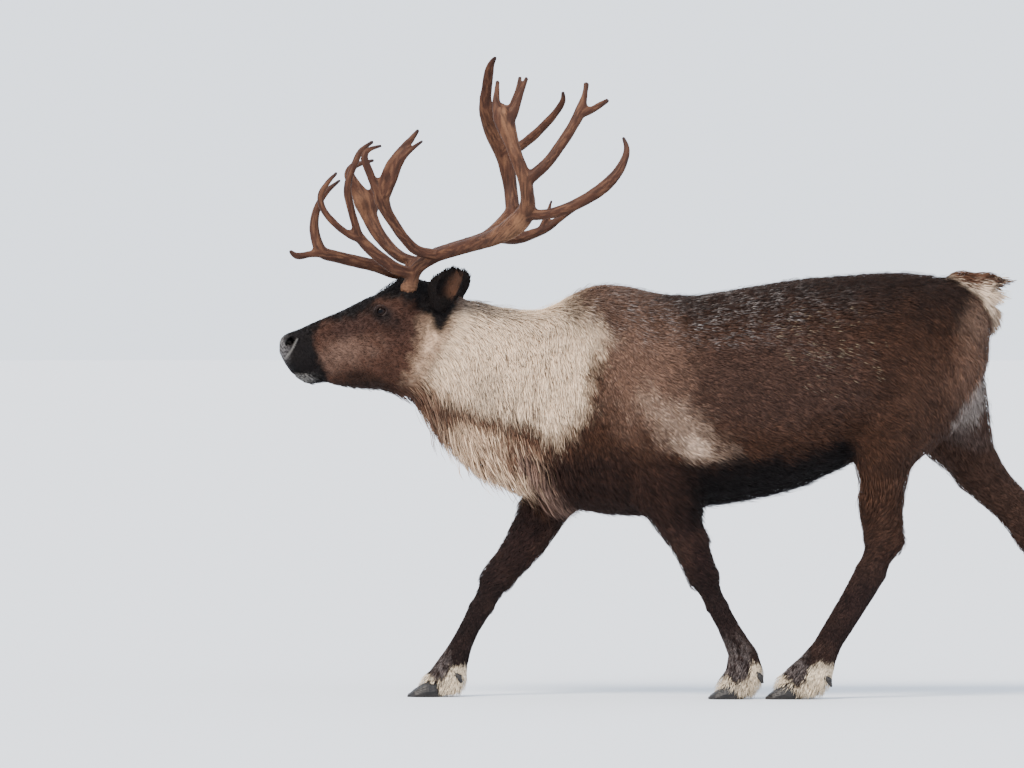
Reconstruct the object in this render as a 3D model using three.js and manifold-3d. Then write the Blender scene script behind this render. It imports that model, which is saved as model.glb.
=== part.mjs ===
// A life-size standing model of a bull reindeer in its autumn coat, caught in mid stride.
// Millimetres, +Z up. The nose points to -X, the animal's left side is -Y, and the feet stand on Z = 0.
import * as THREE from 'three';
import { mergeVertices } from 'three/addons/utils/BufferGeometryUtils.js';
import Module from 'manifold-3d';

const wasm = await Module();
wasm.setup();

// Driving dimensions
const gap = 0.3; // clear space between pieces that touch
const curveSlack = 0.1; // added to the gap where a faceted curve sits in its socket
const headTurn = 5.5; // degrees that the nose swings to the animal's left
const turnStart = -310; // X where the neck begins to swing
const turnEnd = -590; // X where the full swing is reached
const eyeRadius = 17;
const eyeSpot = { x: -757, y: 55, z: 1083 };
const lid = { long: 24, radius: 21, proud: 1, tilt: 14 };
const lidSlit = { long: 15.5, deep: 16, high: 10.5, out: 16 };
const nostrilRim = { x: -1000, y: 31, z: 1004, long: 20, wide: 14, high: 15, tilt: 20 };
const nostril = { x: -1006, y: 42, z: 1003, long: 14, wide: 14, high: 6.5, tilt: 32 };
const mouth = { front: -1060, back: -915, backZ: 884, bendX: -960, lipZ: 908, lipBend: 918, open: 4.5 };
const hoofLong = 98;
const hoofWide = 47;
const hoofHigh = 40;
const hoofSpread = 27; // from the middle of the foot to the middle of one hoof
const hoofSplay = 5; // how far the middle of a hoof bows outwards
const footClear = 5; // height of the flesh above the ground between the hooves
const dewclawLong = 38;
const dewclawWide = 19;
const dewclawSpread = 30;
const earLong = 138;
const earHalf = 39;
const earBow = 8; // how far the ear bends outwards at its middle
const earCupOut = 13; // how far the hollow of the ear stands out from its middle
const elbowCut = 503; // height at which the left foreleg parts from the chest
const shoulderCut = 566; // the same for the right foreleg, which is swung forward
const antlerSpread = 1.12; // how much wider the antlers stand than the points below say
const antlerMiddle = -40; // the antlers spread away from this line: the head is turned left of the body
const burr = { long: 25, wide: 22, high: 9, below: 4, tilt: -18 };
const ruff = {
  rows: 7, from: 0.05, step: 0.104, // places of the roots along the neck, of which 1 is the whole
  lanes: 6, edge: 0.4, // locks in a row, and how far up the sides they start, in half turns
  fall: 0.5, // how far down towards the keel a lock runs, as a share of its height above it
  long: 0.29, // how far back a lock under the neck runs, and those on the sides run less
  half: 35, // half the breadth of a lock
  thick: 11, // height of its ridge
  core: 20, // how far under the outline the flesh lies
  sunk: 10, // how far under the flesh a root starts
  stray: 0.02, // how far a lock's place and curl stray
};
const tuft = { count: 4, root: [-352, 604], tip: [-254, 505], wide: 46, half: 20, thick: 12, stray: 12 };
const trunkSides = 24;
const trunkRings = 20;
const legSides = 10;
const fleshPower = 2.15; // a body section is a little squarer than an ellipse, which has 2

// A section across the trunk, neck, head or a limb: a is its upper or front edge and b its lower or rear
// edge, both [x, z]; half is half its breadth, y its middle, and mid how far down from a to b it is fullest.
const trunk = [
  { a: [-252, 1106], b: [-286, 560], half: 140 },
  { a: [-168, 1159], b: [-190, 526], half: 186 },
  { a: [-84, 1163], b: [-90, 512], half: 214 },
  { a: [0, 1141], b: [0, 512], half: 230 },
  { a: [84, 1127], b: [84, 524], half: 241, mid: 0.52 },
  { a: [168, 1134], b: [168, 538], half: 250, mid: 0.54 },
  { a: [252, 1148], b: [252, 549], half: 256, mid: 0.55 },
  { a: [336, 1162], b: [336, 568], half: 258, mid: 0.55 },
  { a: [420, 1175], b: [420, 591], half: 255, mid: 0.54 },
  { a: [504, 1181], b: [504, 630], half: 247, mid: 0.52 },
  { a: [574, 1186], b: [574, 664], half: 236 },
  { a: [658, 1193], b: [658, 722], half: 222 },
  { a: [742, 1190], b: [742, 766], half: 200 },
  { a: [826, 1178], b: [826, 820], half: 168 },
  { a: [900, 1148], b: [897, 868], half: 122 },
  { a: [942, 1098], b: [940, 918], half: 72 },
  { a: [951, 1058], b: [950, 962], half: 32 },
];
const neck = [
  { a: [-640, 1160], b: [-700, 880], half: 58 },
  { a: [-594, 1150], b: [-664, 810], half: 80 },
  { a: [-526, 1128], b: [-610, 745], half: 94 },
  { a: [-448, 1104], b: [-550, 674], half: 106 },
  { a: [-370, 1091], b: [-488, 620], half: 120 },
  { a: [-294, 1095], b: [-406, 584], half: 137 },
  { a: [-224, 1134], b: [-308, 541], half: 160 },
  { a: [-154, 1158], b: [-218, 524], half: 184 },
  { a: [-98, 1150], b: [-140, 560], half: 178 },
];
const head = [
  { a: [-1036, 998], b: [-1036, 968], half: 17 },
  { a: [-1028, 1013], b: [-1025, 944], half: 33 },
  { a: [-1011, 1024], b: [-1005, 914], half: 42 },
  { a: [-986, 1033], b: [-977, 888], half: 45 },
  { a: [-958, 1046], b: [-944, 877], half: 44 },
  { a: [-927, 1060], b: [-913, 884], half: 42 },
  { a: [-890, 1075], b: [-876, 874], half: 45, mid: 0.48 },
  { a: [-851, 1092], b: [-834, 865], half: 54, mid: 0.45 },
  { a: [-812, 1112], b: [-795, 862], half: 65, mid: 0.4 },
  { a: [-776, 1131], b: [-756, 860], half: 74, mid: 0.36 },
  { a: [-739, 1157], b: [-717, 846], half: 78, mid: 0.36 },
  { a: [-700, 1178], b: [-688, 829], half: 76, mid: 0.4 },
  { a: [-655, 1176], b: [-662, 808], half: 76, mid: 0.45 },
  { a: [-606, 1164], b: [-636, 790], half: 74 },
];
const foreLeft = [
  { a: [-62, 834], b: [154, 848], half: 76, y: -120 },
  { a: [-90, 694], b: [151, 708], half: 82, y: -126 },
  { a: [-67, 582], b: [151, 596], half: 71, y: -122 },
  { a: [-28, 512], b: [151, 521], half: 57, y: -116 },
  { a: [22, 462], b: [165, 459], half: 47, y: -110 },
  { a: [59, 414], b: [171, 409], half: 40, y: -104 },
  { a: [90, 353], b: [196, 353], half: 37, y: -98 },
  { a: [106, 316], b: [204, 322], half: 35, y: -96 },
  { a: [140, 274], b: [213, 280], half: 29, y: -93 },
  { a: [176, 218], b: [241, 224], half: 27, y: -90 },
  { a: [199, 168], b: [272, 174], half: 31, y: -87 },
  { a: [216, 120], b: [314, 115], half: 38, y: -85 },
  { a: [207, 78], b: [319, 67], half: 44, y: -84 },
  { a: [187, 42], b: [302, 31], half: 47, y: -83 },
  { a: [190, 22], b: [286, 8], half: 38, y: -83 },
];
const foreRight = [
  { a: [-252, 806], b: [-28, 820], half: 76, y: 120 },
  { a: [-322, 694], b: [-70, 694], half: 80, y: 126 },
  { a: [-364, 582], b: [-134, 577], half: 70, y: 121 },
  { a: [-386, 504], b: [-216, 504], half: 57, y: 115 },
  { a: [-406, 448], b: [-263, 448], half: 47, y: 107 },
  { a: [-437, 400], b: [-308, 386], half: 41, y: 100 },
  { a: [-470, 358], b: [-353, 344], half: 37, y: 95 },
  { a: [-487, 316], b: [-386, 302], half: 35, y: 92 },
  { a: [-504, 266], b: [-428, 252], half: 29, y: 89 },
  { a: [-529, 210], b: [-468, 199], half: 27, y: 86 },
  { a: [-560, 154], b: [-496, 140], half: 31, y: 84 },
  { a: [-594, 106], b: [-507, 95], half: 38, y: 83 },
  { a: [-619, 73], b: [-512, 62], half: 44, y: 82 },
  { a: [-642, 42], b: [-521, 26], half: 46, y: 81 },
  { a: [-634, 22], b: [-545, 8], half: 38, y: 81 },
];
const hindLeft = [
  { a: [658, 1016], b: [902, 1030], half: 66, y: -92 },
  { a: [605, 904], b: [941, 924], half: 90, y: -116 },
  { a: [568, 792], b: [890, 801], half: 88, y: -126 },
  { a: [557, 708], b: [798, 706], half: 76, y: -128 },
  { a: [563, 644], b: [736, 650], half: 63, y: -124 },
  { a: [577, 568], b: [714, 571], half: 49, y: -118 },
  { a: [588, 493], b: [708, 498], half: 40, y: -112 },
  { a: [594, 456], b: [720, 440], half: 37, y: -108 },
  { a: [588, 414], b: [697, 400], half: 34, y: -105 },
  { a: [557, 336], b: [647, 319], half: 30, y: -100 },
  { a: [512, 258], b: [599, 241], half: 29, y: -96 },
  { a: [459, 165], b: [538, 148], half: 32, y: -92 },
  { a: [412, 112], b: [521, 104], half: 38, y: -90 },
  { a: [372, 78], b: [512, 64], half: 44, y: -88 },
  { a: [350, 45], b: [493, 28], half: 47, y: -87 },
  { a: [358, 22], b: [462, 8], half: 38, y: -87 },
];
const hindRight = [
  { a: [672, 1016], b: [910, 1044], half: 66, y: 92 },
  { a: [680, 876], b: [949, 904], half: 90, y: 116 },
  { a: [714, 764], b: [960, 792], half: 88, y: 126 },
  { a: [767, 683], b: [972, 722], half: 74, y: 128 },
  { a: [826, 630], b: [988, 666], half: 60, y: 124 },
  { a: [885, 571], b: [1025, 610], half: 49, y: 118 },
  { a: [952, 521], b: [1064, 574], half: 41, y: 112 },
  { a: [1005, 462], b: [1100, 532], half: 37, y: 107 },
  { a: [1042, 398], b: [1123, 462], half: 34, y: 104 },
  { a: [1075, 330], b: [1148, 375], half: 30, y: 100 },
  { a: [1114, 252], b: [1187, 280], half: 29, y: 96 },
  { a: [1145, 179], b: [1224, 199], half: 32, y: 92 },
  { a: [1165, 123], b: [1266, 129], half: 38, y: 90 },
  { a: [1156, 78], b: [1271, 67], half: 44, y: 88 },
  { a: [1136, 42], b: [1254, 28], half: 47, y: 87 },
  { a: [1140, 22], b: [1238, 8], half: 38, y: 87 },
];

// Each branch of an antler: points [x, y, z] along its middle, how broad it is seen from the side
// (half breadth at even steps from root to tip) and how thick it is across, as a share of that.
const antlerLeft = {
  beam: {
    path: [[-679, -56, 1140], [-672, -62, 1164], [-659, -72, 1202], [-624, -95, 1230], [-588, -128, 1247],
      [-498, -212, 1275], [-443, -270, 1295], [-388, -325, 1326], [-353, -355, 1362], [-346, -368, 1410]],
    broad: [20, 18, 17, 16, 16, 18, 22, 29, 28, 21],
    thick: 0.9,
  },
  brow: {
    path: [[-676, -68, 1190], [-717, -74, 1203], [-757, -80, 1230], [-795, -86, 1262], [-817, -90, 1292],
      [-823, -97, 1330], [-838, -104, 1380], [-847, -107, 1422], [-841, -106, 1459], [-826, -101, 1498],
      [-809, -94, 1532], [-776, -84, 1558]],
    broad: [15, 16, 16, 15, 15, 12, 11, 10, 10, 9, 7, 3],
    thick: 0.85,
    forks: [
      { path: [[-806, -90, 1282], [-846, -92, 1296], [-882, -93, 1322], [-913, -91, 1355], [-928, -88, 1386],
        [-927, -84, 1414], [-907, -78, 1445], [-882, -70, 1471]], broad: [11, 9.5, 9, 8.5, 8.5, 8, 6, 2.5] },
    ],
  },
  bez: {
    path: [[-604, -112, 1242], [-654, -120, 1253], [-688, -138, 1285], [-714, -154, 1325], [-737, -167, 1364],
      [-749, -176, 1404], [-741, -185, 1448], [-725, -190, 1492], [-697, -192, 1534], [-672, -190, 1562],
      [-650, -186, 1590]],
    broad: [14, 14, 13, 14, 16, 22, 15, 14, 11, 8, 3],
    thick: 0.7,
    forks: [
      { path: [[-746, -176, 1396], [-770, -180, 1434], [-790, -180, 1476], [-804, -177, 1512],
        [-792, -172, 1534], [-753, -163, 1547]], broad: [14, 11.5, 11, 9.5, 7, 2.5] },
      { path: [[-738, -184, 1408], [-717, -196, 1456], [-703, -202, 1498], [-678, -206, 1529],
        [-636, -208, 1560]], broad: [11, 10, 9, 7, 2.5] },
    ],
  },
  upright: {
    path: [[-346, -366, 1394], [-348, -374, 1446], [-356, -375, 1484], [-372, -370, 1534], [-392, -355, 1590],
      [-403, -338, 1632], [-405, -326, 1662]],
    broad: [20, 21, 20, 19, 23, 27, 20],
    thick: 0.6,
    forks: [
      { path: [[-415, -328, 1640], [-427, -312, 1688], [-428, -296, 1730]], broad: [13, 9.5, 4] },
      { path: [[-396, -334, 1636], [-379, -318, 1690], [-363, -298, 1739]], broad: [13, 10, 4] },
      { path: [[-386, -344, 1622], [-362, -330, 1686], [-344, -312, 1736]], broad: [12, 9, 4] },
    ],
  },
  rear: {
    path: [[-360, -350, 1362], [-308, -366, 1356], [-252, -380, 1366], [-195, -385, 1393], [-138, -380, 1424],
      [-99, -368, 1460], [-78, -352, 1504], [-70, -340, 1537], [-78, -330, 1571]],
    broad: [17, 12, 11, 12, 13.5, 13.5, 11.5, 9, 4],
    thick: 0.9,
  },
  back: {
    path: [[-354, -372, 1442], [-322, -376, 1467], [-286, -372, 1501], [-249, -358, 1548], [-218, -342, 1596],
      [-193, -328, 1638], [-188, -316, 1674], [-179, -300, 1722]],
    broad: [17, 16, 14, 14, 13, 14, 8.5, 4],
    thick: 0.8,
    forks: [
      { path: [[-198, -330, 1630], [-164, -322, 1645], [-140, -314, 1660], [-118, -305, 1674]],
        broad: [10, 9, 8, 4] },
    ],
  },
};
const antlerRight = {
  beam: {
    path: [[-690, 16, 1140], [-680, 22, 1168], [-664, 32, 1202], [-627, 55, 1228], [-582, 92, 1246],
      [-504, 172, 1268], [-446, 228, 1285], [-406, 280, 1314], [-388, 312, 1356], [-388, 326, 1396]],
    broad: [20, 18, 17, 16, 16, 17, 20, 23, 19, 15],
    thick: 0.9,
  },
  brow: {
    path: [[-682, 22, 1182], [-722, 12, 1193], [-767, 4, 1210], [-820, -3, 1222], [-874, -9, 1235],
      [-918, -13, 1249], [-935, -8, 1288], [-939, -3, 1327], [-932, 1, 1366], [-918, 4, 1397],
      [-896, 7, 1425], [-865, 10, 1450]],
    broad: [15, 16, 16, 15.5, 16, 15, 13, 12, 10, 8, 6, 2.5],
    thick: 0.85,
    forks: [
      { path: [[-912, -12, 1246], [-949, -15, 1243], [-988, -19, 1238], [-1011, -22, 1254]],
        broad: [13, 9, 8, 3] },
    ],
  },
  bez: {
    path: [[-644, 46, 1219], [-688, 55, 1233], [-722, 75, 1262], [-755, 92, 1306], [-776, 106, 1350],
      [-790, 114, 1390], [-811, 118, 1422], [-831, 119, 1450], [-841, 117, 1474], [-832, 113, 1492],
      [-806, 108, 1499], [-773, 102, 1506]],
    broad: [14, 15, 15.5, 18, 20, 27, 18, 15, 14, 9, 6, 2.5],
    thick: 0.62,
    forks: [
      { path: [[-770, 112, 1366], [-759, 120, 1417], [-745, 124, 1456], [-728, 122, 1484]],
        broad: [18, 13, 9, 4] },
    ],
  },
  upright: {
    path: [[-389, 322, 1380], [-390, 336, 1417], [-398, 342, 1464], [-414, 340, 1515], [-434, 332, 1562],
      [-456, 318, 1613], [-464, 300, 1658], [-458, 284, 1702], [-454, 266, 1747], [-434, 244, 1792]],
    broad: [15, 15, 16, 18, 18, 21, 16, 13, 10, 4],
    thick: 0.65,
    forks: [],
  },
  rear: {
    path: [[-430, 262, 1292], [-370, 296, 1284], [-325, 318, 1297], [-286, 330, 1314], [-252, 335, 1340],
      [-213, 334, 1366], [-179, 326, 1383]],
    broad: [17, 16, 13, 11, 9, 6.5, 3],
    thick: 0.9,
    forks: [
      { path: [[-304, 326, 1312], [-288, 332, 1347], [-274, 334, 1394]], broad: [8, 6, 2.5] },
    ],
  },
  back: {
    path: [[-424, 338, 1522], [-378, 336, 1537], [-336, 326, 1568], [-294, 312, 1604], [-263, 300, 1635],
      [-246, 288, 1666], [-244, 276, 1700]],
    broad: [12, 11, 10, 10, 10, 7.5, 3.5],
    thick: 0.85,
  },
};

// Each foot: where its toes touch the ground at the front, its middle, and X and Z of its dewclaws.
const feet = {
  fore_left: { toe: 162, y: -83, claw: [308, 62] },
  fore_right: { toe: -680, y: 81, claw: [-534, 56] },
  hind_left: { toe: 322, y: -87, claw: [500, 52] },
  hind_right: { toe: 1112, y: 87, claw: [1262, 62] },
};
const ears = {
  left: { root: [-600, -60, 1096], tip: [-541, -116, 1207], side: -1 },
  right: { root: [-590, 60, 1098], tip: [-480, 104, 1198], side: 1 },
};
const tail = {
  path: [[812, 0, 1138], [854, 0, 1149], [892, 0, 1147], [926, 0, 1136], [950, 0, 1126]],
  broad: [50, 48, 44, 34, 16],
  thick: [38, 40, 40, 30, 14],
};
// Rows of tail hair from top to bottom: where the middle lock starts, turns and ends, how many, how wide.
const tailRows = [
  { root: [866, 1168], over: [926, 1190], tip: [996, 1180], count: 2, fan: 16 },
  { root: [876, 1154], over: [940, 1174], tip: [1012, 1158], count: 3, fan: 34 },
  { root: [880, 1140], over: [945, 1142], tip: [1003, 1128], count: 3, fan: 40 },
  { root: [892, 1128], over: [946, 1116], tip: [990, 1096], count: 2, fan: 24 },
  { root: [915, 1122], over: [966, 1094], tip: [974, 1050], count: 2, fan: 12 },
];
const tailLock = { half: 22, thick: 13 };
const tailMiddleZ = 1135; // the flat side of a lock above this faces up, and of one below it down
const tailCut = [836, 1170];

// Where the flesh is parted: a point on the cut, and the direction from it to the piece that comes off
const headCut = [[-560, 0, 1086], [-0.88, -0.08, 0.47]];
const neckCut = [[-205, 0, 820], [-0.995, 0, 0.1]];

const finish = {
  coatDark: new THREE.MeshStandardMaterial({ color: '#2a201b', roughness: 0.9 }),
  coatBrown: new THREE.MeshStandardMaterial({ color: '#4a3a30', roughness: 0.9 }),
  coatPale: new THREE.MeshStandardMaterial({ color: '#b9a893', roughness: 0.92 }),
  antler: new THREE.MeshStandardMaterial({ color: '#6d4c35', roughness: 0.62 }),
  hoof: new THREE.MeshStandardMaterial({ color: '#33302e', roughness: 0.6 }),
  eye: new THREE.MeshStandardMaterial({ color: '#15100d', roughness: 0.12 }),
};

// A three.js geometry as a closed solid. A form swept the other way round is turned right side out.
function solid(geometry) {
  const bare = geometry.clone();
  bare.deleteAttribute('normal');
  bare.deleteAttribute('uv');
  const merged = mergeVertices(bare, 1e-4);
  const spots = merged.attributes.position.array;
  const corners = new Uint32Array(merged.index.array);
  const p = [0, 1, 2].map(() => new THREE.Vector3());
  let volume = 0;
  for (let i = 0; i < corners.length; i += 3) {
    p.forEach((v, k) => v.fromArray(spots, corners[i + k] * 3));
    volume += p[0].dot(p[1].clone().cross(p[2]));
  }
  if (volume < 0) {
    for (let i = 0; i < corners.length; i += 3) {
      [corners[i + 1], corners[i + 2]] = [corners[i + 2], corners[i + 1]];
    }
  }
  return new wasm.Manifold(new wasm.Mesh({ numProp: 3, vertProperties: spots, triVerts: corners }));
}

// Only the largest closed surface is kept, so that no loose scrap or sealed hollow is left.
function largest(made) {
  return made.decompose().reduce((best, next) => (next.volume() > best.volume() ? next : best));
}

function joined(pieces) {
  return pieces.reduce((all, next) => all.add(next));
}

function same(p) {
  return p;
}

// A value read along a list of even steps, eased between them.
function along(values, t) {
  if (!Array.isArray(values)) return values;
  const spot = Math.min(t, 0.99999) * (values.length - 1);
  const step = Math.floor(spot);
  return THREE.MathUtils.lerp(values[step], values[step + 1], spot - step);
}

// A sphere's net laid over any tube-like form: spot(t, turn) gives its surface, and each pole its end.
function skinned(spot, ends, sides, rings) {
  const shape = new THREE.SphereGeometry(1, sides, rings);
  const place = shape.attributes.position;
  for (let i = 0; i < place.count; i += 1) {
    const ring = Math.floor(i / (sides + 1));
    const turn = ((i % (sides + 1)) / sides) * 2 * Math.PI;
    const p = ring === 0 ? ends[0] : ring === rings ? ends[1] : spot((ring - 1) / (rings - 2), turn);
    place.setXYZ(i, p.x, p.y, p.z);
  }
  return shape;
}

// The neck and head swing to the left: how steeply, and how far, at a place along X.
function swing(x) {
  const full = Math.tan(THREE.MathUtils.degToRad(headTurn));
  const run = turnStart - turnEnd;
  const share = THREE.MathUtils.clamp((turnStart - x) / run, 0, 1);
  return { slope: full * share, shift: (full * share * share * run) / 2 + full * Math.max(turnEnd - x, 0) };
}

function turned(p) {
  const { slope, shift } = swing(p.x);
  return new THREE.Vector3(p.x - slope * p.y, p.y - shift, p.z);
}

function turnedSolid(made) {
  const { vertProperties, triVerts } = made.getMesh();
  const place = new THREE.BufferAttribute(vertProperties, 3);
  for (let i = 0; i < place.count; i += 1) {
    const p = turned(new THREE.Vector3().fromBufferAttribute(place, i));
    place.setXYZ(i, p.x, p.y, p.z);
  }
  return new wasm.Manifold(new wasm.Mesh({ numProp: 3, vertProperties, triVerts }));
}

// The surface through a row of sections, and a function that finds a place on it.
function body(sections) {
  const upper = new THREE.CatmullRomCurve3(sections.map((s) => new THREE.Vector3(s.a[0], 0, s.a[1])));
  const lower = new THREE.CatmullRomCurve3(sections.map((s) => new THREE.Vector3(s.b[0], 0, s.b[1])));
  const breadth = new THREE.CatmullRomCurve3(
    sections.map((s) => new THREE.Vector3(s.half, s.y ?? 0, (s.mid ?? 0.5) * 200)),
  );
  const power = 2 / fleshPower;
  return (t, turn, grow = 0) => {
    const a = upper.getPoint(t);
    const b = lower.getPoint(t);
    const w = breadth.getPoint(t);
    const middle = a.clone().lerp(b, w.z / 200);
    const up = Math.sin(turn);
    const side = Math.cos(turn);
    const edge = (up > 0 ? a : b).clone().sub(middle);
    const reach = edge.length() || 1;
    const p = middle.add(edge.multiplyScalar(Math.abs(up) ** power * (1 + grow / reach)));
    p.y = w.y + Math.sign(side) * Math.abs(side) ** power * (w.x + grow);
    return p;
  };
}

function bodySolid(sections, sides, rings, bend = same, grow = () => 0) {
  const spot = body(sections);
  const middle = (t) => spot(t, 0).add(spot(t, Math.PI)).multiplyScalar(0.5);
  const skin = (t, turn) => bend(spot(t, turn, grow(t, turn)));
  return solid(skinned(skin, [bend(middle(0)), bend(middle(1))], sides, rings));
}

// A tapered form swept along a path: broad across its flat, thick through it, with the flat facing one way.
function swept(form) {
  const { path, broad, thick, facing = [0, 1, 0], sides = 7, rings, grow = 0, bend = same, phase = 0 } = form;
  const line = new THREE.CatmullRomCurve3(path.map((p) => new THREE.Vector3(...p)));
  const face = new THREE.Vector3(...facing);
  const centre = (t) => line.getPoint(t).addScaledVector(line.getTangent(t), grow * Math.trunc(2 * t - 1));
  const spot = (t, turn) => {
    const tangent = line.getTangent(t);
    const across = new THREE.Vector3().crossVectors(tangent, face).normalize();
    const through = new THREE.Vector3().crossVectors(across, tangent).normalize();
    const half = along(broad, t);
    const depth = Array.isArray(thick) ? along(thick, t) : half * thick;
    return bend(
      centre(t)
        .addScaledVector(across, Math.cos(turn + phase) * (half + grow))
        .addScaledVector(through, Math.sin(turn + phase) * (depth + grow)),
    );
  };
  return solid(skinned(spot, [bend(centre(0)), bend(centre(1))], sides, rings ?? path.length + 2));
}

function ball(x, y, z, rx, ry, rz, tilt = 0, sides = 12, rings = 8) {
  const shape = new THREE.SphereGeometry(1, sides, rings);
  shape.scale(rx, ry, rz);
  shape.rotateY(THREE.MathUtils.degToRad(tilt));
  shape.translate(x, y, z);
  return solid(shape);
}

// A thick block whose front face lies on a plane: everything on the side that the direction points to.
function blockBeyond(point, direction, size = [3000, 3000, 3000]) {
  const shape = new THREE.BoxGeometry(size[0], size[1], size[2]);
  shape.translate(0, 0, size[2] / 2);
  const to = new THREE.Vector3(...direction).normalize();
  shape.applyQuaternion(new THREE.Quaternion().setFromUnitVectors(new THREE.Vector3(0, 0, 1), to));
  shape.translate(...point);
  return solid(shape);
}

// Parts a solid at a plane, leaving the gap: [the side the direction points to, the rest].
function parted(made, point, direction, size) {
  const to = new THREE.Vector3(...direction).normalize();
  const far = new THREE.Vector3(...point).addScaledVector(to, gap / 2);
  const near = new THREE.Vector3(...point).addScaledVector(to, -gap / 2);
  return [
    largest(made.intersect(blockBeyond(far.toArray(), direction, size))),
    largest(made.subtract(blockBeyond(near.toArray(), direction, size))),
  ];
}

// Repeatable draws between two limits, so that the locks fall the same way every time
function draws(seed) {
  let state = seed;
  return (low, high) => {
    state = (state * 1664525 + 1013904223) % 4294967296;
    return low + (high - low) * (state / 4294967296);
  };
}

// A lock of hair through its points: a flat, pointed blade with a low ridge on its outer side
function lockForm(path, facing, half, thick, bend) {
  return swept({
    path, facing, bend, sides: 3, rings: 5, phase: Math.PI / 2,
    broad: [half * 0.6, half, half * 0.75, half * 0.08],
    thick: [thick * 0.8, thick, thick * 0.8, thick * 0.12],
  });
}

// How much ruff there is at a place on the neck: none at the nape, at the head and against the shoulder
function ruffShare(t, turn) {
  const under = Math.max(-Math.sin(turn), 0);
  const start = THREE.MathUtils.smoothstep(t, 0.02, 0.16);
  const end = 1 - THREE.MathUtils.smoothstep(t, 0.68, 0.88);
  return Math.sqrt(under) * start * end;
}

// The ruff: rows of locks that fall from the sides of the neck to its keel and run back along it
function ruffLocks() {
  const spot = body(neck);
  const draw = draws(11);
  const locks = [];
  for (let row = 0; row < ruff.rows; row += 1) {
    const count = ruff.lanes - (row % 2);
    for (let i = 0; i < count; i += 1) {
      const lane = ((2 * i) / (count - 1) - 1) * (count / ruff.lanes); // -1 on the left, 1 on the right
      const side = lane * ruff.edge + draw(-ruff.stray, ruff.stray);
      const start = ruff.from + ruff.step * row + draw(-ruff.stray, ruff.stray);
      const back = ruff.long * draw(0.85, 1.1) * (1 - 0.4 * Math.abs(lane));
      const curl = draw(-ruff.stray, ruff.stray);
      const place = (share, lift) => {
        const turn = Math.PI * (-0.5 + side * (1 - ruff.fall * share) + curl * share * share);
        const t = Math.min(start + back * share, 1);
        return spot(t, turn, lift(ruff.core * ruffShare(t, turn)));
      };
      const path = [
        place(0, (depth) => -ruff.sunk - depth),
        place(0.3, (depth) => -0.75 * depth),
        place(0.65, (depth) => -0.5 * depth),
        place(1, (depth) => -0.15 * depth),
      ];
      const facing = place(0.5, () => 20).sub(place(0.5, () => 0));
      const half = ruff.half * draw(0.8, 1.15);
      locks.push(lockForm(path.map((p) => p.toArray()), facing.toArray(), half, ruff.thick, turned));
    }
  }
  // the long tuft that hangs from the end of the ruff
  for (let i = 0; i < tuft.count; i += 1) {
    const share = (2 * i) / (tuft.count - 1) - 1;
    const y = share * tuft.wide;
    const short = 1 - 0.3 * Math.abs(share) + draw(-0.1, 0);
    const [x0, z0] = tuft.root.map((v) => v + draw(-tuft.stray, tuft.stray));
    const x1 = x0 + (tuft.tip[0] - x0) * short;
    const z1 = z0 + (tuft.tip[1] - z0) * short;
    const path = [
      [x0 - 26, y * 0.8, z0 + 34],
      [x0, y * 0.9, z0],
      [(x0 + x1) / 2 - 6, y, (z0 + z1) / 2 - 8],
      [x1, y, z1],
    ];
    locks.push(lockForm(path, [-0.7, 0.3 * share, -1], tuft.half, tuft.thick, turned));
  }
  return joined(locks);
}

function tailLocks() {
  const draw = draws(5);
  const room = bodySolid(trunk, trunkSides, trunkRings, same, () => gap + curveSlack);
  return joined(tailRows.flatMap(({ root, over, tip, count, fan }) => (
    Array.from({ length: count }, (_, i) => {
      const share = (2 * i) / (count - 1) - 1;
      const short = 1 - 0.14 * share * share + draw(-0.06, 0.02);
      const spots = [root, over, tip].map(([x, z], step) => [
        root[0] + (x - root[0]) * short,
        share * fan * [0.5, 0.9, 1][step],
        z - 8 * share * share,
      ]);
      const outer = root[1] > tailMiddleZ ? 1 : -1;
      return lockForm(spots, [0.15, 0.6 * share, outer], tailLock.half, tailLock.thick);
    })
  ))).subtract(room);
}

// Head: lids round the eyes, nostrils and the line of the mouth
function makeHead() {
  let made = bodySolid(head, 20, 22);
  const { x, y, z } = eyeSpot;
  const room = eyeRadius + gap;
  for (const side of [-1, 1]) {
    made = made
      .add(ball(x, side * (y + lid.proud), z, lid.long, lid.radius, lid.radius, lid.tilt, 10, 8))
      .subtract(
        ball(x, side * (y + lidSlit.out), z, lidSlit.long, lidSlit.deep, lidSlit.high, lid.tilt, 10, 6),
      )
      .subtract(ball(x, side * y, z, room, room, room, 0, 10, 8));
    for (const [form, work] of [[nostrilRim, 'add'], [nostril, 'subtract']]) {
      made = made[work](
        ball(form.x, side * form.y, form.z, form.long, form.wide, form.high, form.tilt, 8, 6),
      );
    }
  }
  const line = new THREE.Shape();
  line.moveTo(mouth.front, mouth.lipZ);
  line.quadraticCurveTo(mouth.bendX, mouth.lipBend, mouth.back, mouth.backZ);
  line.quadraticCurveTo(mouth.bendX, mouth.lipBend - mouth.open, mouth.front, mouth.lipZ - mouth.open);
  const reach = 100; // past both cheeks
  const slit = new THREE.ExtrudeGeometry(line, { depth: 2 * reach, bevelEnabled: false, curveSegments: 4 });
  slit.rotateX(Math.PI / 2);
  slit.translate(0, reach, 0);
  return turnedSolid(made.subtract(solid(slit)));
}

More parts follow.
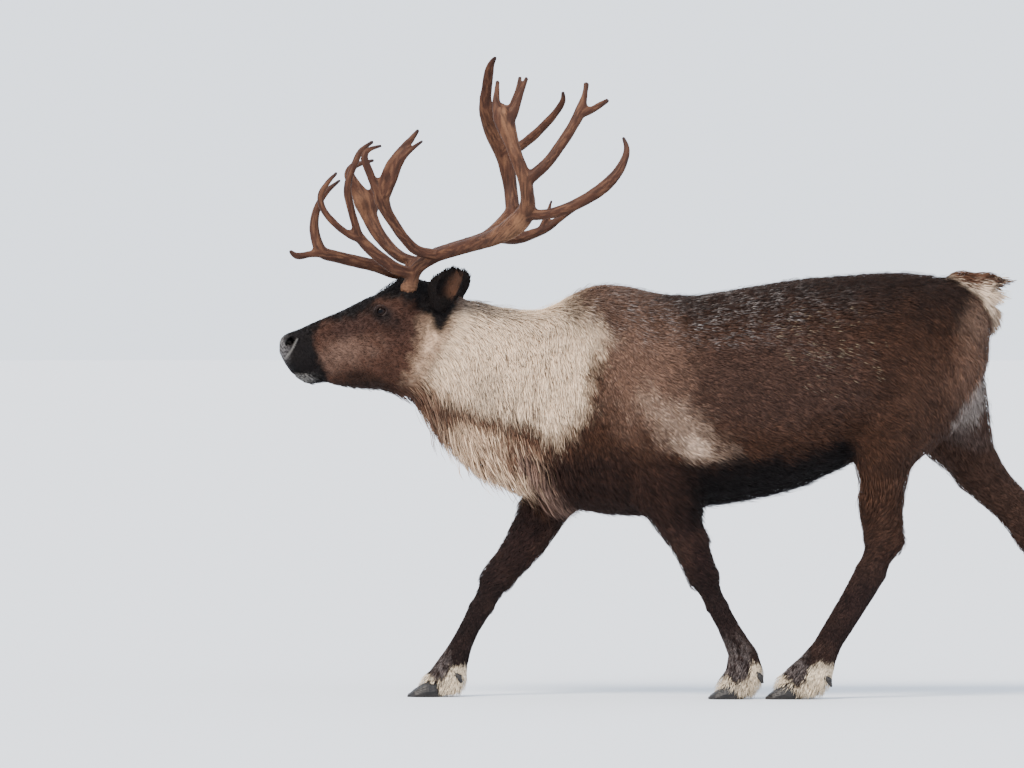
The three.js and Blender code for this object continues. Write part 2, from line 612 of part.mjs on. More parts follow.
// Ear: a leaf rolled into a cup that opens outwards
function earForm({ root, tip, side }, grow) {
  const [foot, end] = [root, tip].map((p) => new THREE.Vector3(...p));
  const axis = end.clone().sub(foot).setLength(earLong);
  const path = [0, 0.25, 0.5, 0.75, 1].map((t) => {
    const p = foot.clone().addScaledVector(axis, t);
    p.y += side * earBow * Math.sin(t * Math.PI);
    return p.toArray();
  });
  const facing = [0.1, side, 0.1];
  const leaf = swept({
    path, facing, grow, sides: 10, rings: 8, bend: turned,
    broad: [24, 31, earHalf, earHalf - 4, 21, 6],
    thick: [24, 23, 18, 13, 8, 4],
  });
  if (grow > 0) return leaf;
  const inner = path.slice(1).map(([x, y, z]) => [x, y + side * earCupOut, z]);
  const cup = swept({
    path: inner, facing, sides: 8, rings: 7, bend: turned,
    broad: [14, 24, 26, 22, 3],
    thick: [15, 20, 18, 12, 3],
  });
  return largest(leaf.subtract(cup));
}

// Hoof: one half of the cloven foot, rounded at the toe and sloping up to the coronet
function hoofForm(toe, middle, side, grow = 0) {
  const count = 7;
  const blunt = 0.25; // breadth of the toe and the heel, as a share of the middle
  const sections = Array.from({ length: count }, (_, i) => {
    const t = i / (count - 1);
    const round = Math.max(Math.sqrt(1 - (2 * t - 1) ** 4), blunt);
    const rise = Math.sin(Math.min(t * 1.25, 1) * Math.PI * 0.5);
    const heel = t > 0.8 ? 0.9 : 1;
    const top = hoofHigh * (0.12 + 1.05 * rise) * heel + grow;
    const x = toe + t * hoofLong + grow * (2 * t - 1);
    return {
      a: [x, top],
      b: [x, -hoofHigh / 3],
      half: (hoofWide / 2) * round + grow,
      y: middle + side * (hoofSpread - 6 + hoofSplay * Math.sin(t * Math.PI)),
    };
  });
  return bodySolid(sections, 8, 7);
}

function dewclawForm([x, z], middle, side, grow = 0) {
  const y = middle + side * dewclawSpread;
  const half = dewclawWide / 2;
  return swept({
    path: [[x - 16, y - side * 6, z + 14], [x, y, z], [x + 6, y + side * 3, z + 6 - dewclawLong * 0.6]],
    broad: [half - 2, half, half * 0.4],
    thick: [half * 0.8, half * 0.9, half * 0.4],
    sides: 5, rings: 4, grow,
  });
}

// A foot's hooves and dewclaws, with the leg cut away round them and kept off the ground
function fitFoot(name, leg, meshes) {
  const { toe, y, claw } = feet[name];
  const floor = blockBeyond([toe, y, 0], [0, 0, -1]);
  const room = gap + curveSlack;
  let flesh = leg.subtract(blockBeyond([toe, y, footClear], [0, 0, -1]));
  for (const [side, word] of [[-1, 'left'], [1, 'right']]) {
    const hoof = largest(hoofForm(toe, y, side).subtract(floor));
    const dewclaw = dewclawForm(claw, y, side);
    flesh = flesh.subtract(hoofForm(toe, y, side, room)).subtract(dewclawForm(claw, y, side, room));
    meshes.push([`hoof_${name}_${word}`, hoof, finish.hoof]);
    meshes.push([`dewclaw_${name}_${word}`, dewclaw, finish.hoof]);
  }
  return largest(flesh);
}

function spreadOut(path) {
  return path.map(([x, y, z]) => [x, antlerMiddle + (y - antlerMiddle) * antlerSpread, z]);
}

// A branch with its forks, its thickness a share of its breadth
function branchForm({ path, broad, thick, forks = [] }, grow = 0) {
  const stem = { path: spreadOut(path), broad, thick, grow, sides: 7, rings: path.length };
  const fingers = forks.map((fork) => ({
    path: spreadOut(fork.path),
    broad: fork.broad,
    thick: thick * 1.1,
    sides: 6,
    rings: fork.path.length,
    grow,
  }));
  return joined([stem, ...fingers].map(swept));
}

// The ring of bone at an antler's root
function burrForm(beam, grow = 0) {
  const [x, y, z] = spreadOut(beam.path)[1];
  const { long, wide, high, below, tilt } = burr;
  return ball(x, y, z - below, long + grow, wide + grow, high + grow, tilt, 10, 6);
}

// One antler: every branch is fitted to what it grows from. The room it needs in the skull comes back.
function makeAntler(word, parts, meshes) {
  const beamRoom = branchForm(parts.beam, gap);
  const browRoom = branchForm(parts.brow, gap);
  const uprightRoom = branchForm(parts.upright, gap);
  const stems = {
    beam: branchForm(parts.beam).add(burrForm(parts.beam)),
    upright: branchForm(parts.upright).subtract(beamRoom),
    brow: branchForm(parts.brow).subtract(beamRoom),
    bez: branchForm(parts.bez).subtract(beamRoom).subtract(browRoom),
    rear: branchForm(parts.rear).subtract(beamRoom).subtract(uprightRoom),
    back: branchForm(parts.back).subtract(beamRoom).subtract(uprightRoom),
  };
  for (const [part, made] of Object.entries(stems)) {
    meshes.push([`antler_${word}_${part}`, largest(made), finish.antler]);
  }
  const room = gap + curveSlack;
  return joined([branchForm(parts.beam, room), burrForm(parts.beam, room), branchForm(parts.brow, room)]);
}

// The neck with its ruff, kept clear of the head, the chest and the right foreleg that swings forward
function withRuff(throat) {
  const away = ([point, direction], sign) => {
    const to = new THREE.Vector3(...direction).normalize().multiplyScalar(sign);
    return blockBeyond(new THREE.Vector3(...point).addScaledVector(to, -gap / 2).toArray(), to.toArray());
  };
  const below = blockBeyond([-330, 198, shoulderCut + gap], [0, 0, -1]);
  const legRoom = bodySolid(foreRight, legSides, foreRight.length + 5, same, () => 4 * gap).intersect(below);
  const locks = ruffLocks().subtract(legRoom);
  return largest(throat.add(locks).subtract(away(headCut, 1)).subtract(away(neckCut, -1)));
}

function makeReindeer() {
  const meshes = [];
  const sockets = ['left', 'right'].map((word) => (
    makeAntler(word, word === 'left' ? antlerLeft : antlerRight, meshes)
  ));

  // The flesh is modelled whole and then parted by thin cuts.
  const legs = { fore_left: foreLeft, fore_right: foreRight, hind_left: hindLeft, hind_right: hindRight };
  const flesh = joined([
    bodySolid(trunk, trunkSides, trunkRings),
    bodySolid(neck, 22, 12, turned, (t, turn) => -ruff.core * ruffShare(t, turn)),
    makeHead(),
    ...Object.values(legs).map((sections) => bodySolid(sections, legSides, sections.length + 5)),
  ]);
  let rest = largest(flesh);
  const leg = (point, direction, size) => {
    const [below, above] = parted(rest, point, direction, size);
    rest = above;
    return below;
  };
  const uppers = {
    hind_left: leg([650, -151, 640], [0.33, 0, -0.94], [1000, 300, 1400]),
    hind_right: leg([880, 151, 655], [0.55, 0, -0.84], [800, 300, 1400]),
    fore_left: leg([70, -151, elbowCut], [0, 0, -1], [760, 300, 1400]),
    fore_right: leg([-330, 198, shoulderCut], [0, 0, -1], [620, 300, 1400]),
  };
  const joints = {
    fore_left: [[150, -98, 296], [0.42, 0, -1]],
    fore_right: [[-445, 94, 288], [-0.35, 0, -1]],
    hind_left: [[642, -106, 392], [-0.42, 0, -1]],
    hind_right: [[1090, 105, 408], [0.5, 0, -1]],
  };
  for (const [name, [point, direction]] of Object.entries(joints)) {
    const [shank, thigh] = parted(uppers[name], point, direction);
    meshes.push([`leg_${name}_upper`, thigh, finish.coatDark]);
    meshes.push([`leg_${name}_lower`, fitFoot(name, shank, meshes), finish.coatDark]);
  }

  let [skull, trunkAndNeck] = parted(rest, ...headCut);
  const [throat, barrel] = parted(trunkAndNeck, ...neckCut);

  for (const word of ['left', 'right']) {
    const ear = ears[word];
    skull = skull.subtract(earForm(ear, gap + curveSlack));
    meshes.push([`ear_${word}`, earForm(ear, 0), finish.coatDark]);
  }
  for (const socket of sockets) skull = skull.subtract(socket);
  for (const [word, side] of [['left', -1], ['right', 1]]) {
    const eye = ball(eyeSpot.x, side * eyeSpot.y, eyeSpot.z, eyeRadius, eyeRadius, eyeRadius, 0, 10, 8);
    meshes.push([`eye_${word}`, turnedSolid(eye), finish.eye]);
  }
  meshes.push(['head', largest(skull), finish.coatBrown]);
  meshes.push(['neck', withRuff(throat), finish.coatPale]);

  const dock = swept({ ...tail, facing: [0, 0, 1], sides: 12, rings: 9 });
  const behind = (slack) => blockBeyond([tailCut[0] + slack, 0, tailCut[1]], [0.9, 0, 0.45], [400, 400, 400]);
  const dockRoom = swept({ ...tail, facing: [0, 0, 1], sides: 12, rings: 9, grow: gap });
  const hair = largest(dock.add(tailLocks()).intersect(behind(2 * gap)));
  meshes.push(['tail', hair, finish.coatPale]);
  meshes.push(['torso', largest(barrel.subtract(dockRoom.intersect(behind(0)))), finish.coatBrown]);
  return meshes;
}

const group = new THREE.Group();
const box = new THREE.Box3();
for (const [name, made, material] of makeReindeer()) {
  const { vertProperties, triVerts } = made.getMesh();
  const geometry = new THREE.BufferGeometry();
  geometry.setAttribute('position', new THREE.BufferAttribute(new Float32Array(vertProperties), 3));
  geometry.setIndex(new THREE.BufferAttribute(new Uint32Array(triVerts), 1));
  geometry.computeVertexNormals();
  geometry.computeBoundingBox();
  box.union(geometry.boundingBox);
  const mesh = new THREE.Mesh(geometry, material);
  mesh.name = name;
  group.add(mesh);
}
const centre = box.getCenter(new THREE.Vector3());
group.position.set(-centre.x, -centre.y, -box.min.z);

export default group;
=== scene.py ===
# A bull reindeer in winter coat, walking, life size: skin, coat, antlers, hooves and eyes over the solids
import math

import bpy
import numpy as np
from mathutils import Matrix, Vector
from mathutils.bvhtree import BVHTree
from mathutils.kdtree import KDTree


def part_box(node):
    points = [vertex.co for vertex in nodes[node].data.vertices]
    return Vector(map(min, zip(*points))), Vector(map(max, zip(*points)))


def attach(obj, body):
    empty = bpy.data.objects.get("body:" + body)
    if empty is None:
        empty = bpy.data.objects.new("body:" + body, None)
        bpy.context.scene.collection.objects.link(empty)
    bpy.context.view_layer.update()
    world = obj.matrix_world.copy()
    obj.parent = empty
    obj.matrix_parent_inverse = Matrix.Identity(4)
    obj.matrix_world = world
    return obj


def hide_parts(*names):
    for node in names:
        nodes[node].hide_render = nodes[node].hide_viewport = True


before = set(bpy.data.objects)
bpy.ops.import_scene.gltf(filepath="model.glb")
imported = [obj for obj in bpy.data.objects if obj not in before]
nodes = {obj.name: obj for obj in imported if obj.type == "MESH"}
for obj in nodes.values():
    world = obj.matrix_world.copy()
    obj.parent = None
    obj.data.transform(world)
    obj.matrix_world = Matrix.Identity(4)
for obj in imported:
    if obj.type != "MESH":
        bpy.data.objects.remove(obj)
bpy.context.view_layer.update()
print("frame loaded with", len(nodes), "nodes")

millimetre = 0.001
sides = {"left": -1, "right": 1}  # the animal's left side is -Y
feet = ["fore_left", "fore_right", "hind_left", "hind_right"]
flesh = ["head", "neck", "torso", "tail", "ear_left", "ear_right"]
flesh += [f"leg_{foot}_{half}" for foot in feet for half in ("upper", "lower")]
kindNames = ["head", "neck", "torso", "tail", "ear", "upper", "lower"]
kindOf = np.array([name.split("_")[-1 if "leg" in name else 0] for name in flesh])


# Small helpers for colours, nodes, meshes and modifiers
def linear(code):  # an sRGB hex colour as linear values
    values = np.array([int(code[i:i + 2], 16) for i in (1, 3, 5)]) / 255
    return np.where(values <= 0.04045, values / 12.92, ((values + 0.055) / 1.055) ** 2.4)


def rgba(code):
    return (*linear(code), 1)


def ease(share):
    share = np.clip(share, 0, 1)
    return share * share * (3 - 2 * share)


def unit(ways):
    return ways / np.maximum(np.linalg.norm(ways, axis=-1, keepdims=True), 1e-9)


def addNode(tree, kind, settings=None, inputs=None):
    node = tree.nodes.new("ShaderNode" + kind)
    for name, value in (settings or {}).items():
        setattr(node, name, value)
    for name, value in (inputs or {}).items():
        if isinstance(value, bpy.types.NodeSocket):
            tree.links.new(value, node.inputs[name])
        else:
            node.inputs[name].default_value = value
    return node


def makeFinish(name, noise, shader, squash=None, shades=None, ramp=None, bump=None):
    # A material mottled by noise: shades of the colours that the piece carries, or else a ramp of two colours
    made = bpy.data.materials.new(name)
    made.use_nodes = True
    tree = made.node_tree
    tree.nodes.clear()
    where = addNode(tree, "TexCoord").outputs["Object"]
    if squash:
        where = addNode(tree, "Mapping", inputs={"Vector": where, "Scale": squash}).outputs["Vector"]
    mottle = addNode(tree, "TexNoise", inputs={"Vector": where, "Scale": noise[0], "Detail": noise[1]})
    grain, inputs = mottle.outputs["Fac"], dict(shader)
    if shades:
        attribute, darkest, lightest = shades
        carried = addNode(tree, "Attribute", {"attribute_name": attribute})
        lighter = addNode(tree, "MapRange", inputs={"Value": grain, "To Min": darkest, "To Max": lightest})
        colour = addNode(tree, "VectorMath", {"operation": "SCALE"}, {
            "Vector": carried.outputs["Color"], "Scale": lighter.outputs["Result"]})
        inputs["Base Color"] = colour.outputs["Vector"]
    else:
        colour = addNode(tree, "ValToRGB", inputs={"Fac": grain})
        for stop, (position, code) in zip(colour.color_ramp.elements, ramp):
            stop.position = position
            stop.color = rgba(code)
        inputs["Base Color"] = colour.outputs["Color"]
    if bump:
        raised = addNode(tree, "Bump", inputs={"Strength": bump[0], "Distance": bump[1], "Height": grain})
        inputs["Normal"] = raised.outputs["Normal"]
    surface = addNode(tree, "BsdfPrincipled", inputs=inputs)
    addNode(tree, "OutputMaterial", inputs={"Surface": surface.outputs["BSDF"]})
    return made


def selectOnly(*pieces):
    bpy.ops.object.select_all(action="DESELECT")
    for piece in pieces:
        piece.select_set(True)
    bpy.context.view_layer.objects.active = pieces[0]


def applyModifier(piece, kind, **settings):
    selectOnly(piece)
    modifier = piece.modifiers.new(kind.lower(), kind)
    for name, value in settings.items():
        setattr(modifier, name, value)
    bpy.ops.object.modifier_apply(modifier=modifier.name)


def editMesh(piece, operation, **settings):  # one operation on the whole of a piece's mesh
    selectOnly(piece)
    bpy.ops.object.mode_set(mode="EDIT")
    bpy.ops.mesh.select_all(action="SELECT")
    operation(**settings)
    bpy.ops.object.mode_set(mode="OBJECT")


def trianglesOnly(piece):
    editMesh(piece, bpy.ops.mesh.quads_convert_to_tris)


def readPoints(mesh, what="co"):
    found = np.empty(len(mesh.vertices) * 3, np.float32)
    source = mesh.vertices if what == "co" else mesh.vertex_normals
    source.foreach_get("co" if what == "co" else "vector", found)
    return found.reshape(-1, 3).astype(float)


def writePoints(mesh, points):
    mesh.vertices.foreach_set("co", points.astype(np.float32).ravel())
    mesh.update()


def readFaces(mesh):  # of a mesh that is all triangles
    found = np.empty(len(mesh.polygons) * 3, np.int32)
    mesh.loops.foreach_get("vertex_index", found)
    return found.reshape(-1, 3)


def readEdges(mesh):
    found = np.empty(len(mesh.edges) * 2, np.int32)
    mesh.edges.foreach_get("vertices", found)
    return found.reshape(-1, 2)


def newMesh(title, points, triangles):
    mesh = bpy.data.meshes.new(title)
    mesh.vertices.add(len(points))
    mesh.loops.add(triangles.size)
    mesh.polygons.add(len(triangles))
    mesh.vertices.foreach_set("co", points.astype(np.float32).ravel())
    mesh.loops.foreach_set("vertex_index", triangles.astype(np.int32).ravel())
    mesh.polygons.foreach_set("loop_start", np.arange(0, triangles.size, 3, dtype=np.int32))
    mesh.polygons.foreach_set("use_smooth", np.ones(len(triangles), bool))
    mesh.update(calc_edges=True)
    piece = bpy.data.objects.new(title, mesh)
    bpy.context.collection.objects.link(piece)
    return piece


def smoothShaded(piece, finish):
    piece.data.polygons.foreach_set("use_smooth", np.ones(len(piece.data.polygons), bool))
    piece.data.materials.append(finish)


def setColours(mesh, name, colours):
    layer = mesh.color_attributes.new(name, "FLOAT_COLOR", "POINT")
    values = np.column_stack([np.clip(colours, 0.0005, 1), np.ones(len(colours))])
    layer.data.foreach_set("color", values.astype(np.float32).ravel())


def neighbourMean(values, edges):
    a, b = edges[:, 0], edges[:, 1]
    count = len(values)
    total = [np.bincount(a, column[b], count) + np.bincount(b, column[a], count) for column in values.T]
    return np.stack(total, 1) / np.maximum(np.bincount(edges.ravel(), minlength=count), 1)[:, None]


def blurred(values, edges, rounds):
    for turn in range(rounds):
        values = 0.5 * values + 0.5 * neighbourMean(values, edges)
    return values


def relaxed(points, edges, rounds, weight=1.0, keepSize=True):
    weight = np.broadcast_to(np.asarray(weight, float), len(points))[:, None]
    for turn in range(rounds):
        points = points + 0.5 * weight * (neighbourMean(points, edges) - points)
        if keepSize:  # the second step pushes back out what the first one shrinks
            points = points - 0.53 * weight * (neighbourMean(points, edges) - points)
    return points


def wander(places, size, seed):  # smooth noise from about -1 to 1, with waves about size long
    draw = np.random.default_rng(seed)
    total = np.zeros(len(places))
    for turn in range(7):
        way = unit(draw.normal(size=3)) * 2 * math.pi / (size * draw.uniform(0.7, 1.4))
        total += np.sin(places @ way + draw.uniform(0, 2 * math.pi))
    return total / 3.2


def copyOf(names, title, grow=0.0):  # a merged copy of CAD nodes
    copies = []
    for name in names:
        copied = bpy.data.objects.new(name + "_copy", nodes[name].data.copy())
        bpy.context.collection.objects.link(copied)
        copies.append(copied)
    selectOnly(*copies)
    if len(copies) > 1:
        bpy.ops.object.join()
    piece = bpy.context.view_layer.objects.active
    piece.name = piece.data.name = title
    piece.data.materials.clear()
    editMesh(piece, bpy.ops.mesh.remove_doubles, threshold=0.01 * millimetre)
    writePoints(piece.data, readPoints(piece.data) + readPoints(piece.data, "normal") * grow * millimetre)
    return piece


def nearestIn(spots, points):  # which of the spots lies nearest to each point
    tree = KDTree(len(spots))
    for index, spot in enumerate(spots):
        tree.insert(spot, index)
    tree.balance()
    return [tree.find(point)[1] for point in points]


def painter(tone, palette):  # lays a colour of the palette over the tones, as far as a mask says
    def paint(mask, name):
        tone[:] += np.clip(mask, 0, 1)[:, None] * (linear(palette[name]) - tone)
    return paint


# Places on the animal are millimetres along it, across it and up, as if its neck were straight
swing = {"degrees": 5.5, "start": -310, "end": -590}
eyeSpot = {"x": -757, "z": 1083, "radius": 17, "bare": 19}  # no tuft has its root nearer than bare


def swingAt(x):
    full = math.tan(math.radians(swing["degrees"]))
    run = swing["start"] - swing["end"]
    share = np.clip((swing["start"] - x) / run, 0, 1)
    return full * share, full * (share**2 * run / 2 + np.maximum(swing["end"] - x, 0))


eyeMiddle = np.mean([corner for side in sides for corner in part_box("eye_" + side)], axis=0)
origin = eyeMiddle - np.array([eyeSpot["x"], -swingAt(eyeSpot["x"])[1], eyeSpot["z"]]) * millimetre


def straightened(points):
    places = (points - origin) / millimetre
    x, y = places[:, 0], places[:, 1]
    for turn in range(3):
        slope, aside = swingAt(x)
        y = places[:, 1] + aside
        x = places[:, 0] + slope * y
    return np.column_stack([x, y, places[:, 2]])


def placed(places):  # the reverse of straightened
    places = np.atleast_2d(np.asarray(places, float))
    slope, aside = swingAt(places[:, 0])
    x, y = places[:, 0] - slope * places[:, 1], places[:, 1] - aside
    return np.column_stack([x, y, places[:, 2]]) * millimetre + origin


def turnedWays(ways, places):
    slope, (x, y, z) = swingAt(places[:, 0])[0], ways.T
    return unit(np.column_stack([x - slope * y, y + slope * x, z]))


# Camera, floor and light
view = {
    "aim": (-386, 0, 879),  # the middle of the picture, on the animal's middle plane
    "wide": 2867,  # how much of the animal's length the picture takes in
    "away": 40000, "up": 1.0,  # how far off the camera stands, and how many degrees it looks down
    "sensor": 36, "farthest": 500,
}
stage = {
    "floor": 60, "floorColour": "#c9cdd3", "floorMottle": "#cdd1d7", "mottle": 0.025,
    "sky": "#dde5f0", "skyStrength": 2.5,
}
lamps = [  # soft suns: elevation and azimuth they shine from, strength, softness in degrees, colour
    {"name": "key_light", "from": (46, -34), "strength": 6.4, "soft": 22, "colour": "#fff4e6"},
    {"name": "fill_light", "from": (28, 48), "strength": 1.2, "soft": 50, "colour": "#e6eefb"},
]


def makeCamera():
    data = bpy.data.cameras.new("camera")
    camera = bpy.data.objects.new("camera", data)
    bpy.context.collection.objects.link(camera)
    data.sensor_width = view["sensor"]
    data.lens = view["sensor"] * view["away"] / view["wide"]
    data.clip_end = view["farthest"]
    rise = math.radians(view["up"])
    back = Vector((0, -math.cos(rise), math.sin(rise)))
    aim = Vector(np.array(view["aim"]) * millimetre + origin)
    camera.location = aim + back * view["away"] * millimetre
    camera.rotation_euler = (-back).to_track_quat("-Z", "Y").to_euler()
    bpy.context.scene.camera = camera


def makeStage():
    bpy.ops.object.select_all(action="DESELECT")
    bpy.ops.mesh.primitive_circle_add(
        vertices=96, radius=stage["floor"], fill_type="NGON", location=(0, 0, 0))
    floor = bpy.context.object
    floor.name = "floor"
    # Matt paper, with hardly a mottle
    paper = makeFinish("pale studio paper", noise=(stage["mottle"], 3.0),
                       ramp=((0, stage["floorColour"]), (1, stage["floorMottle"])),
                       shader={"Roughness": 0.9, "Specular IOR Level": 0.1})
    floor.data.materials.append(paper)
    world = bpy.data.worlds.new("studio")
    world.use_nodes = True
    background = world.node_tree.nodes["Background"]
    background.inputs["Color"].default_value = rgba(stage["sky"])
    background.inputs["Strength"].default_value = stage["skyStrength"]
    bpy.context.scene.world = world
    for lamp in lamps:
        data = bpy.data.lights.new(lamp["name"], "SUN")
        data.energy = lamp["strength"]
        data.angle = math.radians(lamp["soft"])
        data.color = linear(lamp["colour"])
        light = bpy.data.objects.new(lamp["name"], data)
        bpy.context.collection.objects.link(light)
        rise, bearing = (math.radians(turn) for turn in lamp["from"])
        level = math.cos(rise)
        source = Vector((math.sin(bearing) * level, -math.cos(bearing) * level, math.sin(rise)))
        light.rotation_euler = source.to_track_quat("Z", "Y").to_euler()


makeCamera()
makeStage()
print("camera, floor and light")

# The skin: one closed surface, finer on the head, under the solids' surface by the depth of the coat
skinMake = {
    "grow": 1.5,  # makes the solids overlap before they become one; the skin is drawn in again by as much
    "bodyVoxel": 7.5, "headVoxel": 3.0,
    "smoothBody": 26, "smoothAll": 3, "smoothRuff": 60, "smoothSeams": 60, "thin": 0.56,
}
fineParts = ["head", "ear_left", "ear_right"]


def largestOf(piece):  # drops loose scraps
    editMesh(piece, bpy.ops.mesh.separate, type="LOOSE")
    found = sorted(bpy.context.selected_objects, key=lambda part: len(part.data.vertices))
    for scrap in found[:-1]:
        bpy.data.objects.remove(scrap)
    return found[-1]


def mended(piece):  # takes out the few knots that a union leaves, and closes the holes
    selectOnly(piece)
    bpy.ops.object.mode_set(mode="EDIT")
    bpy.ops.mesh.select_mode(type="VERT")
    for turn in range(2):
        bpy.ops.mesh.select_all(action="DESELECT")
        bpy.ops.mesh.select_non_manifold()
        bpy.ops.mesh.delete(type="VERT")
        bpy.ops.mesh.select_all(action="SELECT")
        bpy.ops.mesh.fill_holes(sides=0)
        bpy.ops.mesh.select_all(action="SELECT")
        bpy.ops.mesh.quads_convert_to_tris()
    bpy.ops.object.mode_set(mode="OBJECT")


pedicle = {"at": (-682, 50, 1114), "size": (35, 33, 38)}  # the furred stalk of bone under each antler


def fuseFlesh():
    body = copyOf([name for name in flesh if name not in fineParts], "skin_body", skinMake["grow"])
    fine = copyOf(fineParts, "skin_head", skinMake["grow"])
    for side in sides.values():
        bpy.ops.object.select_all(action="DESELECT")
        bpy.ops.mesh.primitive_uv_sphere_add(segments=32, ring_count=16, radius=millimetre)
        stalk = bpy.context.object
        middle = placed([pedicle["at"][0], pedicle["at"][1] * side, pedicle["at"][2]])[0]
        writePoints(stalk.data, readPoints(stalk.data) * np.array(pedicle["size"]) + middle)
        selectOnly(fine, stalk)
        bpy.ops.object.join()
    applyModifier(body, "REMESH", mode="VOXEL", voxel_size=skinMake["bodyVoxel"] * millimetre)
    applyModifier(fine, "REMESH", mode="VOXEL", voxel_size=skinMake["headVoxel"] * millimetre)
    applyModifier(body, "BOOLEAN", operation="UNION", solver="MANIFOLD", object=fine)
    bpy.data.objects.remove(fine)
    body = largestOf(body)
    body.name = body.data.name = "skin"
    body.data.materials.clear()
    trianglesOnly(body)
    mended(body)
    return body


def nearestOf(spots, line):  # how far each spot lies from a line of points
    nearest = np.full(len(spots), 1e9)
    for start, end in zip(line[:-1], line[1:]):
        run = end - start
        share = np.clip(((spots - start) @ run) / (run @ run), 0, 1)
        nearest = np.minimum(nearest, np.linalg.norm(spots - start - share[:, None] * run, axis=1))
    return nearest


# Three kinds of patch, seen from the side: each is 1 inside and 0 outside, and stray makes its edge ragged
def patch(places, at, size, tilt=0, soft=0.3, stray=0.0):  # an ellipse of this half length and half height
    turn = math.radians(tilt)
    along, up = places[:, 0] - at[0], places[:, 2] - at[1]
    a = (along * math.cos(turn) + up * math.sin(turn)) / size[0]
    b = (up * math.cos(turn) - along * math.sin(turn)) / size[1]
    return ease((1 + soft - np.hypot(a, b) + stray) / (2 * soft))


def inOutline(places, outline, soft, stray=0.0):
    spots = places[:, [0, 2]]
    corners = np.array(outline + outline[:1], float)
    nearest = nearestOf(spots, corners)
    inside = np.zeros(len(spots), bool)
    for start, end in zip(corners[:-1], corners[1:]):
        crosses = (start[1] > spots[:, 1]) != (end[1] > spots[:, 1])
        with np.errstate(divide="ignore", invalid="ignore"):
            reach = start[0] + (spots[:, 1] - start[1]) * (end[0] - start[0]) / (end[1] - start[1])
        inside ^= crosses & (spots[:, 0] < reach)
    return ease(0.5 + (np.where(inside, nearest, -nearest) + stray) / soft)


def onLine(places, line, half, soft, stray=0.0):
    return ease(0.5 + (half - nearestOf(places[:, [0, 2]], np.array(line, float)) + stray) / soft)


def labelsOf(points):  # which flesh node lies nearest to each point
    corners, faces, owners = [], [], []
    for index, name in enumerate(flesh):
        mesh = nodes[name].data
        start = len(corners)
        corners += [vertex.co[:] for vertex in mesh.vertices]
        faces += [[start + corner for corner in face.vertices] for face in mesh.polygons]
        owners += [index] * len(mesh.polygons)
    tree = BVHTree.FromPolygons(corners, faces)
    return np.array([owners[tree.find_nearest(point)[2]] for point in points])


def sharesOf(kinds, edges, rounds):  # how much of each kind of flesh lies round a point
    return blurred(np.stack([kinds == kind for kind in kindNames], 1).astype(float), edges, rounds)


def thinned(piece, names, ratio):  # fewer triangles on the named regions
    group = piece.vertex_groups.new(name="coarse")
    chosen = np.flatnonzero(np.isin(np.array(flesh)[labelsOf(readPoints(piece.data))], names))
    group.add([int(index) for index in chosen], 1.0, "REPLACE")
    applyModifier(piece, "DECIMATE", ratio=ratio, vertex_group="coarse", vertex_group_factor=100.0)
    piece.vertex_groups.clear()


lockZone = [(-720, 1000), (-640, 1040), (-420, 960), (-200, 900), (-180, 480), (-420, 500), (-760, 700)]
ruffZone = [(-640, 900), (-560, 760), (-470, 690), (-330, 700), (-240, 640), (-250, 480), (-420, 520),
            (-700, 640)]
humpZone = [(-330, 1090), (-330, 1230), (60, 1230), (60, 1100), (-140, 1040)]
thighZone = [(540, 670), (640, 660), (720, 780), (880, 960), (800, 1040), (660, 890)]


def smoothFlesh(piece):  # takes the facets off, and the solids' locks, which finer ones replace
    edges, points = readEdges(piece.data), readPoints(piece.data)
    kinds, places = kindOf[labelsOf(points)], straightened(points)
    facets = np.select([kinds == "head", kinds == "ear", kinds == "lower"], [0.25, 0.5, 0.5], 1.0)
    locks = np.maximum(inOutline(places, lockZone, 60) * (kinds != "head"), 0.12 * (kinds == "tail"))
    shares = sharesOf(kinds, edges, 34)
    seams = ease((0.985 - shares.max(axis=1)) * 6) * (kinds != "head") * (kinds != "ear") * (kinds != "tail")
    seams = np.maximum(seams, inOutline(places, humpZone, 40) * (kinds != "head"))
    seams = np.maximum(seams, inOutline(places, thighZone, 60))
    facets, seams = blurred(facets[:, None], edges, 2)[:, 0], blurred(seams[:, None], edges, 4)[:, 0]
    points = relaxed(points, edges, skinMake["smoothBody"], facets)
    points = relaxed(points, edges, skinMake["smoothRuff"], locks, keepSize=False)
    points = relaxed(points, edges, skinMake["smoothSeams"], seams, keepSize=False)
    writePoints(piece.data, relaxed(points, edges, skinMake["smoothAll"]))


mouthLine = [(-1042, 909), (-1000, 915), (-960, 911), (-930, 899), (-915, 885)]
nostrilSpot = {"at": (-1010, 1000), "size": (15, 7.5), "tilt": 38}


def splitFine(piece):  # smaller triangles round the eyes, nostrils and mouth
    mesh = piece.data
    points, faces = readPoints(mesh), readFaces(mesh)
    places = straightened(points[faces].mean(axis=1))
    fine = patch(places, (eyeSpot["x"], eyeSpot["z"]), (34, 30), 0, 0.05)
    fine = np.maximum(fine, patch(places, nostrilSpot["at"], (30, 26), 0, 0.05))
    fine = np.maximum(fine, onLine(places, mouthLine, 9, 1))
    onHead = (places[:, 0] < -700) & (places[:, 2] > 850)
    selectOnly(piece)
    bpy.ops.object.mode_set(mode="EDIT")
    bpy.ops.mesh.select_mode(type="FACE")
    bpy.ops.mesh.select_all(action="DESELECT")
    bpy.ops.object.mode_set(mode="OBJECT")
    mesh.polygons.foreach_set("select", (fine > 0.5) & onHead)
    bpy.ops.object.mode_set(mode="EDIT")
    bpy.ops.mesh.subdivide(number_cuts=1)
    bpy.ops.object.mode_set(mode="OBJECT")
    trianglesOnly(piece)


